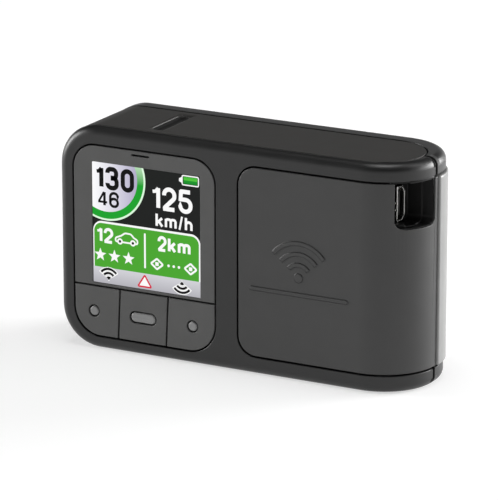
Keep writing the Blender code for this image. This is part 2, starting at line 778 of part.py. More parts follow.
def socket_outline(shrink):
    """Trapezium-ended outline of the socket, its two bevelled corners towards the back."""
    half_y = SOCKET_WIDE / 2 - shrink
    half_z = SOCKET_TALL / 2 - shrink
    chamfer_y = SOCKET_CHAMFER - shrink / 2
    bevel_z = half_z - SOCKET_CHAMFER_TALL + shrink / 2
    corners = [(-half_y, SOCKET_Z - half_z), (half_y - chamfer_y, SOCKET_Z - half_z)]
    corners += [(half_y, SOCKET_Z - bevel_z), (half_y, SOCKET_Z + bevel_z)]
    corners += [(half_y - chamfer_y, SOCKET_Z + half_z), (-half_y, SOCKET_Z + half_z)]
    return rounded(corners, [SOCKET_CORNER_R] * 6, SMALL_STEPS)


def in_bay(solid):
    solid.matrix_basis = bay_frame() @ solid.matrix_basis
    return solid


def build_bay():
    foot = SOCKET_X - BAY_BASE
    walls = (BAY_FRONT - BAY_WALL, BAY_LOW - BAY_WALL, BAY_BACK + BAY_WALL, BAY_ROOF + BAY_WALL)
    block = plate("plug_bay", "X", foot, LENGTH + OVERRUN, rectangle(*walls))
    keep(block, housing("bay_room", WALL + FIT_GAP))
    depths = rectangle(-DEPTH, 0, DEPTH, HEIGHT)
    past_floor = in_bay(plate("past_bay_floor", "X", -SOCKET_PROUD, DEPTH, depths))
    wide = plate("bay_wide", "X", BAY_STEP, LENGTH + OVERRUN, bay_pocket(0))
    narrow = plate("bay_narrow", "X", foot, LENGTH + OVERRUN, bay_pocket(BAY_LEDGE))
    keep(narrow, past_floor)
    hole = in_bay(plate("socket_hole", "X", -OVERRUN, OVERRUN, socket_outline(-FIT_GAP)))
    cut(block, wide, narrow, hole)
    part(block, "plug_bay", look("bay plastic", BLACK, 0.5))

    metal = look("socket metal", STEEL, 0.25, 1.0)
    can = in_bay(plate("usb_socket", "X", -SOCKET_DEEP, 0, socket_outline(0)))
    inner = socket_outline(SOCKET_WALL)
    cut(can, in_bay(plate("socket_inside", "X", SOCKET_BACK - SOCKET_DEEP, OVERRUN, inner)))
    part(can, "usb_socket", metal)

    low = (SOCKET_BACK - SOCKET_DEEP + FIT_GAP, -TONGUE_THICK / 2, SOCKET_Z - TONGUE_TALL / 2)
    high = (-TONGUE_SHORT, TONGUE_THICK / 2, SOCKET_Z + TONGUE_TALL / 2)
    part(in_bay(box("usb_tongue", low, high)), "usb_tongue", look("tongue plastic", BLACK, 0.4))

    low = (-SOCKET_DEEP, SOCKET_WIDE / 2 + FIT_GAP, SOCKET_Z - USB_BOARD_TALL / 2)
    high = (-BAY_BASE - USB_BOARD_CLEAR, low[1] + KEY_BOARD_THICK, SOCKET_Z + USB_BOARD_TALL / 2)
    part(in_bay(box("usb_board", low, high)), "usb_board", look("usb board", BOARD_GREEN, 0.4))


def bay_pocket(shrink):
    """Pocket outline inside the bay piece, open at the front and closed by its roof."""
    radius = BAY_CORNER_R - shrink
    radii = (radius, radius, SMALL_R, SMALL_R)
    back = BAY_BACK - shrink
    return rectangle(BAY_FRONT - OVERRUN, BAY_LOW + shrink, back, BAY_ROOF - shrink, radii)


# ---------------------------------------------------------------- boards, battery, sound


def build_electronics():
    green = look("board laminate", BOARD_GREEN, 0.4)
    tin = look("tinned steel", STEEL, 0.3, 1.0)
    board_back = BOARD_Y + BOARD_THICK
    outline = rectangle(BOARD_LEFT, BOARD_LOW, BOARD_RIGHT, BOARD_HIGH, (BOARD_CORNER_R,) * 4, SMALL_STEPS)
    board = plate("main_board", "Y", BOARD_Y, board_back, outline)
    part(board, "main_board", green)

    shield_front = board_back + FIT_GAP
    for name, left, low, wide, tall in SHIELDS:
        corner = (left, shield_front, low)
        shield = box(name, corner, (left + wide, shield_front + SHIELD_THICK, low + tall))
        soften(shield, SHIELD_EDGE_R)
        part(shield, name, tin)

    low = (BOARD_LEFT + BATTERY_INSET, board_back + BATTERY_CLEAR, BOARD_LOW + BATTERY_INSET)
    high = low[0] + BATTERY_SIDE, low[1] + BATTERY_THICK, low[2] + BATTERY_SIDE
    battery = box("battery", low, high)
    soften(battery, BATTERY_EDGE_R, 3)
    part(battery, "battery", look("battery wrap", POUCH_GREY, 0.35, 0.4))

    low = Vector((PATCH_X - PATCH_SIDE / 2, PATCH_Y - PATCH_SIDE / 2, INNER_TOP - PATCH_DROP - PATCH_THICK))
    patch = box("gps_antenna", low, low + Vector((PATCH_SIDE, PATCH_SIDE, PATCH_THICK)))
    soften(patch, PATCH_EDGE_R, 1)
    part(patch, "gps_antenna", look("antenna ceramic", CERAMIC, 0.6))

    carrier = box("cell_antenna", ANTENNA_LOW, Vector(ANTENNA_LOW) + Vector(ANTENNA_SIZE))
    soften(carrier, PATCH_EDGE_R, 1)
    part(carrier, "cell_antenna", look("antenna carrier", PANEL_GREY, 0.5))


def build_speaker():
    """Basket, cone and gasket, stacked against the inside of the rear cover's grille."""
    wall = DEPTH - COVER_WALL
    gasket_back = wall - FIT_GAP
    gasket_front = gasket_back - GASKET_THICK
    ring = circle(SPEAKER_X, SPEAKER_Z, SPEAKER_R)
    bore = circle(SPEAKER_X, SPEAKER_Z, SPEAKER_R - GASKET_WIDE)
    gasket = plate("speaker_gasket", "Y", gasket_front, gasket_back, ring, bore)
    part(gasket, "speaker_gasket", look("gasket foam", BLACK, 0.9))

    rim_back = gasket_front - FIT_GAP
    magnet_r = SPEAKER_R * MAGNET_SHARE
    well = SPEAKER_R - GASKET_WIDE
    profile = [(0, -WELL_DEEP), (magnet_r, -WELL_DEEP), (well, -RIM_STEP), (well, 0), (SPEAKER_R, 0)]
    profile += [(SPEAKER_R, -RIM_STEP), (magnet_r, -SPEAKER_DEEP + RIM_STEP)]
    profile += [(magnet_r, -SPEAKER_DEEP), (0, -SPEAKER_DEEP)]
    basket = turned("speaker_basket", profile, (SPEAKER_X, rim_back, SPEAKER_Z), FACING_BACK)
    part(basket, "speaker_basket", look("speaker steel", STEEL, 0.4, 1.0))

    reach = well - FIT_GAP
    dome = magnet_r / 2
    profile = [(0, -CONE_DROP / 2), (dome, -CONE_DROP), (reach, 0), (reach, -CONE_THICK)]
    profile += [(dome, -CONE_DROP - CONE_THICK), (0, -CONE_DROP / 2 - CONE_THICK)]
    cone = turned("speaker_cone", profile, (SPEAKER_X, rim_back, SPEAKER_Z), FACING_BACK)
    part(cone, "speaker_cone", look("cone film", BLACK, 0.5))


def build_fasteners():
    metal = look("screw steel", DARK_STEEL, 0.35, 1.0)
    head_back = DEPTH - SCREW_SINK + FIT_GAP + SCREW_HEAD_THICK
    profile = [(0, 0), (SCREW_HEAD_R, 0), (SCREW_HEAD_R, -SCREW_HEAD_THICK)]
    profile += [(SCREW_SHANK_R, -SCREW_HEAD_THICK), (SCREW_SHANK_R, -SCREW_LONG), (0, -SCREW_LONG)]
    for index, (x, z) in enumerate(screw_places(), 1):
        screw = turned(f"screw_{index}", profile, (x, head_back, z), FACING_BACK)
        long, thin = SCREW_HEAD_R * CROSS_SHARE, CROSS_WIDE / 2
        for turn, (half_x, half_z) in enumerate(((long, thin), (thin, long))):
            low = (x - half_x, head_back - CROSS_DEEP, z - half_z)
            cross = box(f"cross_{index}_{turn}", low, (x + half_x, head_back + OVERRUN, z + half_z))
            cut(screw, cross)
        part(screw, f"screw_{index}", metal)

    place = circle(DISC_X, DISC_Z, DISC_R, DISC_STEPS)
    disc = plate("holder_disc", "Y", DEPTH - DISC_THICK, DEPTH, place)
    part(disc, "holder_disc", look("disc steel", STEEL, 0.3, 1.0))


build_shells()
build_covers()
build_bar()
build_display()
build_keys()
build_bay()
build_electronics()
build_speaker()
build_fasteners()
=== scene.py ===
"""Looks of the radar detector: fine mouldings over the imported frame, its lit screen, and the studio."""

import math

import bmesh
import bpy
from mathutils import Matrix, Vector


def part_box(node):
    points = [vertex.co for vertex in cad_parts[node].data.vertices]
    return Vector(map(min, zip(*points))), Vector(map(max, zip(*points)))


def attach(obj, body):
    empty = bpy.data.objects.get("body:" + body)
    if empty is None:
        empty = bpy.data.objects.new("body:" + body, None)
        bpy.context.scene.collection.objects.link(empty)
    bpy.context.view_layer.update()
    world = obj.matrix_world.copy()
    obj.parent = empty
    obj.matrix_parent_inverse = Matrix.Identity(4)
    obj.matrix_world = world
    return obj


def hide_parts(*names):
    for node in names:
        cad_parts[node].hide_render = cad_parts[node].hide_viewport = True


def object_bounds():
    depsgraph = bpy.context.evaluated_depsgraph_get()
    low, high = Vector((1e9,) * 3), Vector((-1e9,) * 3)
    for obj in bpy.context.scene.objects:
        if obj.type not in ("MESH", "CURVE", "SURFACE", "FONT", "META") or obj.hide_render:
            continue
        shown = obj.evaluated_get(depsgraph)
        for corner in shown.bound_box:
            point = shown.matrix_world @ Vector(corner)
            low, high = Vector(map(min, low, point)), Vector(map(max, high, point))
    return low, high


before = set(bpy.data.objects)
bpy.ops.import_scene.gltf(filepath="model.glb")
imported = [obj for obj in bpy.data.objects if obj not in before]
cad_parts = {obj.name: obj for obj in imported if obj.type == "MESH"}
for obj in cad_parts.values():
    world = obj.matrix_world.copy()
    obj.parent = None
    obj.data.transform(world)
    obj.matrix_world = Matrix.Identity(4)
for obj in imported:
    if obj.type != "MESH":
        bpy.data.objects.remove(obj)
CAD_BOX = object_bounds()

MM = 0.001
CORNER = Vector((CAD_BOX[0].x, CAD_BOX[0].y, 0))

# Housing, in the corner frame: X from the left end, Y from the front face, Z from the base.
REAR_COVER_PROUD = 0.5 * MM
LENGTH = CAD_BOX[1].x - CAD_BOX[0].x - REAR_COVER_PROUD
DEPTH = CAD_BOX[1].y - CAD_BOX[0].y - REAR_COVER_PROUD
HEIGHT = CAD_BOX[1].z
LEFT_CORNER_R = 9.0 * MM
END_R = 12.0 * MM
EDGE_R = 2.0 * MM
WALL = 1.8 * MM
SEAM = 0.36 * MM
SHELL_RECESS = 0.06 * MM
FRONT_SPLIT = 2.1 * MM
REAR_SPLIT = DEPTH - 4.85 * MM
LID_END = 3.0 * MM
BAND_SPLIT = 11.55 * MM
BAND_SEAM = 0.70 * MM
FIT_GAP = 0.30 * MM
LIP_THICK = 0.6 * MM
LIP_REACH = 1.5 * MM
LIP_CLEAR = 0.4 * MM
LIP_RIM_R = 0.05 * MM
COVER_CORNER_R = 4.5 * MM
COVER_WALL = 1.5 * MM
COVER_SPLIT = 12.3 * MM
COVER_SPLIT_SEAM = 0.16 * MM
REAR_COVER_RIM_R = 0.4 * MM
SCREW_HEAD = 1.1 * MM


def corner_box(node):
    """A CAD node's box in the corner frame."""
    low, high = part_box(node)
    return low - CORNER, high - CORNER


COVER_LOW_CORNER, COVER_HIGH_CORNER = corner_box("side_cover")
COVER_LEFT = COVER_LOW_CORNER.x - SEAM
COVER_LOW = COVER_LOW_CORNER.z - SEAM
COVER_HIGH = COVER_HIGH_CORNER.z + SEAM

# Display panel.
PANEL_LEFT = corner_box("key_left")[0].x - SEAM
PANEL_LOW = corner_box("key_left")[0].z - SEAM
PANEL_RIGHT = corner_box("display_bezel")[1].x + SEAM
PANEL_HIGH = corner_box("display_bezel")[1].z + SEAM
KEY_LINE = corner_box("display_bezel")[0].z - SEAM / 2
PANEL_TOP_R = 5.5 * MM
PANEL_LOW_R = 6.5 * MM
PANEL_THICK = 1.8 * MM
WINDOW_EDGE = 0.45 * MM
SCREEN_LEFT = corner_box("display_window")[0].x + WINDOW_EDGE
SCREEN_RIGHT = corner_box("display_window")[1].x - WINDOW_EDGE
SCREEN_LOW = corner_box("display_window")[0].z + WINDOW_EDGE
SCREEN_HIGH = corner_box("display_window")[1].z - WINDOW_EDGE
SCREEN_CORNER_R = 0.3 * MM
SCREEN_GAP = 0.05 * MM
PICTURE_DEEP = 0.25 * MM
LAYER = 0.012 * MM
LAYER_PITCH = 1.5 * LAYER
SLOT_X = 20.0 * MM
SLOT_Z = PANEL_HIGH - 1.3 * MM
SLOT_LONG = 4.2 * MM
SLOT_WIDE = 0.4 * MM

# Facets and softened edges.
ARC_ANGLE = math.radians(4)
EDGE_STEPS = 8
SHARP_ANGLE = math.radians(30)
RIM_R = 0.16 * MM
RIM_STEPS = 3
NODE_RIM_R = 0.08 * MM
FLAT_ANGLE = math.radians(1)
OVERRUN = 5.0 * MM
HAIR = 0.001 * MM

BODY_OF_KEY = {"left": "left_key", "middle": "middle_key", "right": "right_key"}


# ---------------------------------------------------------------- outlines


def rounded(corners, radii, closed=True):
    """Path through the corners, each rounded by its own radius. The ends of an open path stay sharp."""
    path = []
    count = len(corners)
    for index, corner in enumerate(corners):
        here = Vector(corner)
        at_end = not closed and index in (0, count - 1)
        if radii[index] <= 0 or at_end:
            path.append(here)
            continue
        back = (Vector(corners[index - 1]) - here).normalized()
        ahead = (Vector(corners[(index + 1) % count]) - here).normalized()
        half = back.angle(ahead) / 2
        centre = here + (back + ahead).normalized() * radii[index] / math.sin(half)
        spoke = here + back * radii[index] / math.tan(half) - centre
        turn = math.pi - 2 * half
        if back.cross(ahead) > 0:
            turn = -turn
        steps = max(2, math.ceil(abs(turn) / ARC_ANGLE))
        for step in range(steps + 1):
            path.append(centre + Matrix.Rotation(turn * step / steps, 2) @ spoke)
    return path


def rectangle(left, low, right, high, radii=(0, 0, 0, 0)):
    """Radii run from the lower left corner anticlockwise."""
    return rounded([(left, low), (right, low), (right, high), (left, high)], radii)


def circle(x, y, radius, steps=72):
    turns = [2 * math.pi * step / steps for step in range(steps)]
    return [Vector((x + radius * math.cos(turn), y + radius * math.sin(turn))) for turn in turns]


# ---------------------------------------------------------------- solids


def new_object(name, bm):
    bmesh.ops.recalc_face_normals(bm, faces=bm.faces)
    mesh = bpy.data.meshes.new(name)
    bm.to_mesh(mesh)
    bm.free()
    obj = bpy.data.objects.new(name, mesh)
    bpy.context.scene.collection.objects.link(obj)
    return obj


def on_axis(axis, u, v, depth):
    """A point (u, v) of an outline, at a depth along an axis."""
    point = [u, v]
    point.insert("XYZ".index(axis), depth)
    return point


def add_prism(bm, axis, start, end, outline):
    """Closed solid between two depths along an axis."""
    near = [bm.verts.new(on_axis(axis, u, v, start)) for u, v in outline]
    far = [bm.verts.new(on_axis(axis, u, v, end)) for u, v in outline]
    bm.faces.new(near)
    bm.faces.new(far)
    count = len(outline)
    for index in range(count):
        after = (index + 1) % count
        bm.faces.new((near[index], near[after], far[after], far[index]))


def prism(name, axis, start, end, *outlines):
    """One or more prisms with the same depths in one object."""
    bm = bmesh.new()
    for outline in outlines:
        add_prism(bm, axis, start, end, outline)
    return new_object(name, bm)


def loft(name, sections):
    """Closed solid through sections of equal point counts."""
    bm = bmesh.new()
    rings = [[bm.verts.new(place) for place in section] for section in sections]
    count = len(rings[0])
    for near, far in zip(rings, rings[1:]):
        for index in range(count):
            after = (index + 1) % count
            bm.faces.new((near[index], near[after], far[after], far[index]))
    bm.faces.new(rings[0])
    bm.faces.new(rings[-1])
    return new_object(name, bm)


def round_edges(bm, edges, radius, steps):
    bmesh.ops.bevel(bm, geom=edges, offset=radius, segments=steps, profile=0.5, affect="EDGES")


def edges_along(bm, axis):
    for edge in bm.edges:
        span = edge.verts[1].co - edge.verts[0].co
        if abs(span[axis]) > 0.999 * span.length:
            yield edge


def block(name, inset):
    """The housing's outer form drawn in by inset, or grown where inset is negative."""
    size = Vector((LENGTH, DEPTH, HEIGHT))
    middle = size / 2
    bm = bmesh.new()
    bmesh.ops.create_cube(bm, size=1)
    bmesh.ops.scale(bm, vec=size - Vector((2, 2, 2)) * inset, verts=bm.verts)
    bmesh.ops.translate(bm, vec=middle, verts=bm.verts)
    left_corners = [edge for edge in edges_along(bm, 1) if edge.verts[0].co.x < middle.x]
    round_edges(bm, left_corners, LEFT_CORNER_R - inset, round(math.pi / 2 / ARC_ANGLE))
    end_corners = [edge for edge in edges_along(bm, 2) if edge.verts[0].co.x > middle.x]
    round_edges(bm, end_corners, END_R - inset, round(math.pi / 2 / ARC_ANGLE))
    if inset < EDGE_R:
        sharp = [edge for edge in bm.edges if edge.calc_face_angle() > SHARP_ANGLE]
        round_edges(bm, sharp, EDGE_R - inset, EDGE_STEPS)
    return new_object(name, bm)


def carve(obj, operation, cutters):
    """Apply one boolean per cutter, then remove the cutters."""
    for cutter in cutters:
        modifier = obj.modifiers.new(operation, "BOOLEAN")
        modifier.operation = operation
        modifier.object = cutter
        modifier.solver = "EXACT"
    apply_modifiers(obj)
    for cutter in cutters:
        bpy.data.objects.remove(cutter)
    return obj


def apply_modifiers(obj):
    evaluated = obj.evaluated_get(bpy.context.evaluated_depsgraph_get())
    mesh = bpy.data.meshes.new_from_object(evaluated)
    obj.modifiers.clear()
    obj.data = mesh


def keep(obj, *cutters):
    return carve(obj, "INTERSECT", cutters)


def cut(obj, *cutters):
    return carve(obj, "DIFFERENCE", cutters)


def join(obj, *others):
    return carve(obj, "UNION", others)


def soften(obj, radius=RIM_R, steps=RIM_STEPS):
    """Round every sharp edge a little, as a mould does, and shade the result smooth."""
    bm = bmesh.new()
    bm.from_mesh(obj.data)
    bmesh.ops.remove_doubles(bm, verts=bm.verts, dist=2 * HAIR)
    bmesh.ops.dissolve_degenerate(bm, edges=bm.edges, dist=2 * HAIR)
    bm.to_mesh(obj.data)
    bm.free()
    bevel = obj.modifiers.new("rim", "BEVEL")
    bevel.width = radius
    bevel.segments = steps
    bevel.limit_method = "ANGLE"
    bevel.angle_limit = SHARP_ANGLE
    bevel.use_clamp_overlap = False
    obj.data.shade_smooth()
    weighted = obj.modifiers.new("normals", "WEIGHTED_NORMAL")
    weighted.keep_sharp = False
    return obj


def finished(obj, name, material, slot, body, *nodes):
    """Name a piece, move it from the corner frame to the row frame, and tie it to its body."""
    obj.name = name
    obj.data.transform(Matrix.Translation(CORNER))
    obj.data.materials.clear()
    obj.data.materials.append(material)
    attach(obj, body)
    if nodes:
        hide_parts(*nodes)


# ---------------------------------------------------------------- materials

CLOUD_SIZE = 6 * MM
ROUGHNESS_SWING = 0.04
METAL_LINE_DEEP = 0.003 * MM
LIT_BASE = 0.004


def linear(*levels):
    """Screen levels from 0 to 255 as a linear colour."""
    shares = [level / 255 for level in levels]
    return [share / 12.92 if share <= 0.04045 else ((share + 0.055) / 1.055) ** 2.4 for share in shares]


class Surface:
    """A Principled material with helpers for the nodes that feed it."""

    def __init__(self, name, colour, roughness, metallic=0.0, specular=0.5):
        self.material = bpy.data.materials.new(name)
        self.material.use_nodes = True
        self.tree = self.material.node_tree
        self.shader = self.tree.nodes["Principled BSDF"]
        self.put("Base Color", (*colour, 1))
        self.put("Roughness", roughness)
        self.put("Metallic", metallic)
        self.put("Specular IOR Level", specular)

    def put(self, socket, value):
        self.shader.inputs[socket].default_value = value

    def add(self, kind, **values):
        node = self.tree.nodes.new(kind)
        for key, value in values.items():
            if key in node.inputs:
                node.inputs[key].default_value = value
            else:
                setattr(node, key, value)
        return node

    def link(self, source, target):
        self.tree.links.new(source, target)

    def place(self):
        return self.add("ShaderNodeTexCoord").outputs["Object"]

    def noise(self, size, detail=2.0):
        """Noise whose grains are about size across."""
        node = self.add("ShaderNodeTexNoise", Scale=1 / size, Detail=detail)
        self.link(self.place(), node.inputs["Vector"])
        return node.outputs["Fac"]

    def ramp(self, value, *stops):
        """Colour ramp through (position, colour) stops."""
        node = self.add("ShaderNodeValToRGB")
        elements = node.color_ramp.elements
        while len(elements) < len(stops):
            elements.new(1.0)
        for element, (position, colour) in zip(elements, stops):
            element.position = position
            element.color = (*colour, 1)
        self.link(value, node.inputs["Fac"])
        return node.outputs["Color"]

    def vary(self, socket, value, low, high):
        node = self.add("ShaderNodeMapRange")
        node.inputs["To Min"].default_value = low
        node.inputs["To Max"].default_value = high
        self.link(value, node.inputs["Value"])
        self.link(node.outputs["Result"], self.shader.inputs[socket])

    def bump(self, height, depth):
        node = self.add("ShaderNodeBump", Strength=1.0, Distance=depth)
        self.link(height, node.inputs["Height"])
        self.link(node.outputs["Normal"], self.shader.inputs["Normal"])


def plastic(name, colour, roughness, grain=0.16 * MM, depth=0.008 * MM, mottle=0.06, specular=0.5):
    """Moulded plastic: spark-eroded grain, with faint cloudy changes in colour and gloss."""
    surface = Surface(name, colour, roughness, specular=specular)
    clouds = surface.noise(CLOUD_SIZE, 4.0)
    dark = [level * (1 - mottle) for level in colour]
    pale = [level * (1 + mottle) for level in colour]
    surface.link(surface.ramp(clouds, (0.3, dark), (0.7, pale)), surface.shader.inputs["Base Color"])
    surface.vary("Roughness", clouds, roughness - ROUGHNESS_SWING, roughness + ROUGHNESS_SWING)
    surface.bump(surface.noise(grain), depth)
    return surface.material


def metal(name, colour, roughness, stretch=(1, 1, 1), grain=0.3 * MM):
    """Metal with fine lines along the axis whose stretch is small."""
    surface = Surface(name, colour, roughness, metallic=1.0)
    mapping = surface.add("ShaderNodeMapping")
    mapping.inputs["Scale"].default_value = stretch
    surface.link(surface.place(), mapping.inputs["Vector"])
    lines = surface.add("ShaderNodeTexNoise", Scale=1 / grain, Detail=3.0)
    surface.link(mapping.outputs["Vector"], lines.inputs["Vector"])
    surface.vary("Roughness", lines.outputs["Fac"], roughness * 0.7, roughness * 1.3)
    surface.bump(lines.outputs["Fac"], METAL_LINE_DEEP)
    return surface.material


def lit_surface(name, base=LIT_BASE):
    surface = Surface(name, [base] * 3, 0.3, specular=0.08)
    surface.put("Emission Strength", 1.0)
    return surface


def lit(name, colour, base=LIT_BASE):
    """A colour of the lit picture, under the window's gloss."""
    surface = lit_surface(name, base)
    surface.put("Emission Color", (*colour, 1))
    return surface.material


def lit_fade(name, axis, start, end, *stops):
    """Lit colour that changes along one axis of the row frame, from start to end."""
    surface = lit_surface(name)
    parts = surface.add("ShaderNodeSeparateXYZ")
    surface.link(surface.place(), parts.inputs["Vector"])
    share = surface.add("ShaderNodeMapRange")
    share.inputs["From Min"].default_value = start
    share.inputs["From Max"].default_value = end
    surface.link(parts.outputs[axis], share.inputs["Value"])
    surface.link(surface.ramp(share.outputs["Result"], *stops), surface.shader.inputs["Emission Color"])
    return surface.material


FRAME_PLASTIC = plastic("frame_plastic", (0.008, 0.008, 0.008), 0.37)
SHELL_PLASTIC = plastic("shell_plastic", (0.0125, 0.0115, 0.0100), 0.55)
COVER_PLASTIC = plastic("cover_plastic", (0.030, 0.030, 0.0297), 0.40)
# Rear cover: mid grey, far paler than the frame. This is painted light standing in for the strong light from
# the right rear.
REAR_COVER_PAINTED_LIGHT = plastic("rear_cover_plastic", (0.22, 0.22, 0.217), 0.33, specular=0.6)
PANEL_PLASTIC = plastic("panel_plastic", (0.066, 0.066, 0.065), 0.48)
INSERT_PLASTIC = plastic("insert_plastic", (0.21, 0.21, 0.21), 0.4, depth=0.004 * MM)
BLACK_PLASTIC = plastic("black_plastic", (0.006, 0.006, 0.006), 0.45, specular=0.2)
SOCKET_STEEL = metal("socket_steel", (0.78, 0.77, 0.75), 0.22, (1, 1, 0.1))
CONTACT_GOLD = metal("contact_gold", (0.80, 0.62, 0.30), 0.25)
# On/off bar: rubber, made near-black, darker than the shell round it. The extra darkness is painted shade of
# the hollow the bar sits in.
BAR_RUBBER_PAINTED_SHADE = plastic("bar_rubber_painted_shade", (0.006, 0.006, 0.0058), 0.75, specular=0.2)
SCREEN_GLASS = lit("screen_glass", linear(22, 24, 23))


# ---------------------------------------------------------------- shells

# Generic sign on the side cover.
MARK_X = COVER_LEFT + 14.5 * MM
MARK_Z = 22.6 * MM
MARK_DOT_R = 1.0 * MM
MARK_STEP = 2.3 * MM
MARK_LINE = 0.9 * MM
MARK_SPREAD = math.radians(52)
MARK_RULE = 23.0 * MM
MARK_DROP = 3.6 * MM
MARK_PROUD = 0.16 * MM

# Holes over the loudspeaker.
GRILLE_PITCH = 3.0 * MM
GRILLE_HOLE_R = 0.75 * MM
GRILLE_REACH = 7.0 * MM


def shell_zone(name, grow):
    """Room of the centre shell, from the front split to the rear one with a half-round right end."""
    front = FRONT_SPLIT - grow
    rear = REAR_SPLIT + grow
    end = LENGTH - LID_END + grow
    end_r = (rear - front) / 2 - HAIR
    plan = rectangle(-OVERRUN, front, end, rear, (0, end_r, end_r, 0))
    return prism(name, "Z", -OVERRUN, HEIGHT + OVERRUN, plan)


def band_zone(name, front, rear):
    everything = rectangle(-OVERRUN, -OVERRUN, LENGTH + OVERRUN, HEIGHT + OVERRUN)
    return prism(name, "Y", front, rear, everything)


def cover_outline(shrink):
    radius = COVER_CORNER_R - shrink
    low = COVER_LOW + shrink
    high = COVER_HIGH - shrink
    return rectangle(COVER_LEFT + shrink, low, LENGTH + OVERRUN, high, (radius, 0, 0, radius))


def panel_outline(shrink, low=PANEL_LOW):
    low_r = PANEL_LOW_R - shrink if low == PANEL_LOW else 0
    top_r = PANEL_TOP_R - shrink
    right, high = PANEL_RIGHT - shrink, PANEL_HIGH - shrink
    return rectangle(PANEL_LEFT + shrink, low + shrink, right, high, (low_r, low_r, top_r, top_r))


def build_shells():
    through = (-OVERRUN, DEPTH + OVERRUN)

    front = keep(block("front", 0), band_zone("front_zone", -OVERRUN, BAND_SPLIT - BAND_SEAM / 2))
    panel_hole = prism("panel_hole", "Y", -OVERRUN, FRONT_SPLIT + OVERRUN, panel_outline(0))
    cover_hole = prism("cover_hole", "Y", *through, cover_outline(0))
    cut(front, shell_zone("room", SEAM / 2), block("cavity", WALL), panel_hole, cover_hole)
    finished(soften(front), "frame_moulding", FRAME_PLASTIC, "frame_plastic", "housing", "front_frame")

    centre = keep(block("centre", SHELL_RECESS), shell_zone("centre_zone", -SEAM / 2))
    cut(centre, block("cavity", WALL), bar_scoop(), bar_slot())
    finished(soften(centre), "centre_moulding", SHELL_PLASTIC, "shell_plastic", "housing", "centre_shell")

    rear = keep(block("rear", 0), band_zone("rear_zone", BAND_SPLIT + BAND_SEAM / 2, DEPTH + OVERRUN))
    cover_hole = prism("cover_hole", "Y", *through, cover_outline(0))
    cut(rear, shell_zone("room", SEAM / 2), block("cavity", WALL), cover_hole, *rear_recesses())
    finished(soften(rear), "rear_moulding", FRAME_PLASTIC, "frame_plastic", "housing", "rear_shell")


def build_lips():
    """Lips inside the shells, behind the seams."""
    lips = cut(block("lips", WALL + HAIR), block("inside", WALL + LIP_THICK))
    at_front = band_zone("at_front", FRONT_SPLIT, FRONT_SPLIT + LIP_REACH)
    at_rear = band_zone("at_rear", REAR_SPLIT - LIP_REACH, REAR_SPLIT)
    end_plan = rectangle(LENGTH - END_R, -OVERRUN, LENGTH, DEPTH)
    at_end = prism("at_end", "Z", -OVERRUN, HEIGHT + OVERRUN, end_plan)
    keep(lips, join(at_end, at_front, at_rear))
    panel_room = prism("panel_room", "Y", -OVERRUN, FRONT_SPLIT + LIP_REACH, panel_outline(-LIP_CLEAR))
    cut(lips, panel_room, prism("cover_hole", "Y", -OVERRUN, DEPTH + OVERRUN, cover_outline(0)))
    finished(soften(lips, LIP_RIM_R, 1), "seam_lips", BLACK_PLASTIC, "black_plastic", "housing")


def rear_recesses():
    """Seats in the back for the four screw heads and the steel disc."""
    heads = []
    for number in range(1, 5):
        low, high = corner_box(f"screw_{number}")
        middle = (low + high) / 2
        heads.append(circle(middle.x, middle.z, (high.x - low.x) / 2 + FIT_GAP, 36))
    sink = corner_box("screw_1")[1].y - SCREW_HEAD
    low, high = corner_box("holder_disc")
    middle = (low + high) / 2
    seat = circle(middle.x, middle.z, (high.x - low.x) / 2 + FIT_GAP, 120)
    yield prism("screw_seats", "Y", sink, DEPTH + OVERRUN, *heads)
    yield prism("disc_seat", "Y", low.y - FIT_GAP, DEPTH + OVERRUN, seat)


def mark_arc(radius, turns):
    """Points at these turns round the sign's dot."""
    return [(MARK_X + radius * math.cos(turn), MARK_Z + radius * math.sin(turn)) for turn in turns]


def cover_mark(cover):
    """A generic signal sign in low relief on the cover: a dot, three arcs over it and a rule under it."""
    depths = (-MARK_PROUD, COVER_WALL / 2)
    solids = [prism("dot", "Y", *depths, circle(MARK_X, MARK_Z, MARK_DOT_R, 48))]
    steps = 24
    turns = [MARK_SPREAD * (2 * step / steps - 1) + math.pi / 2 for step in range(steps + 1)]
    for number in range(1, 4):
        radius = MARK_DOT_R + number * MARK_STEP
        outline = mark_arc(radius, turns) + mark_arc(radius - MARK_LINE, turns[::-1])
        solids.append(prism("arc", "Y", *depths, outline))
    half = MARK_LINE / 2
    left, middle = MARK_X - MARK_RULE / 2, MARK_Z - MARK_DROP
    rule = rectangle(left, middle - half, MARK_X + MARK_RULE / 2, middle + half, (half - HAIR,) * 4)
    solids.append(prism("rule", "Y", *depths, rule))
    join(cover, *solids)


def build_covers():
    area = prism("cover_area", "Y", -OVERRUN, DEPTH + OVERRUN, cover_outline(SEAM))
    side = keep(block("side", 0), band_zone("side_zone", -OVERRUN, COVER_SPLIT - COVER_SPLIT_SEAM / 2), area)
    cut(side, block("inside", COVER_WALL), prism("mouth", "X", SOCKET_X, LENGTH + OVERRUN, bay_outline(0)))
    cover_mark(side)
    finished(soften(side), "side_cover_moulding", COVER_PLASTIC, "cover_plastic", "housing", "side_cover")

    area = prism("cover_area", "Y", -OVERRUN, DEPTH + OVERRUN, cover_outline(SEAM))
    zone = band_zone("rear_zone", COVER_SPLIT + COVER_SPLIT_SEAM / 2, DEPTH + OVERRUN)
    rear = keep(block("rear", -REAR_COVER_PROUD), zone, area)
    holes = [circle(x, z, GRILLE_HOLE_R, 24) for x, z in grille_places()]
    cut(rear, block("inside", COVER_WALL), prism("grille", "Y", DEPTH - WALL, DEPTH + OVERRUN, *holes))
    soften(rear, REAR_COVER_RIM_R, 5)
    # The rear cover's pale colour is painted light from the right rear.
    finished(rear, "rear_cover_moulding", REAR_COVER_PAINTED_LIGHT, "rear_cover_plastic", "housing", "rear_cover")


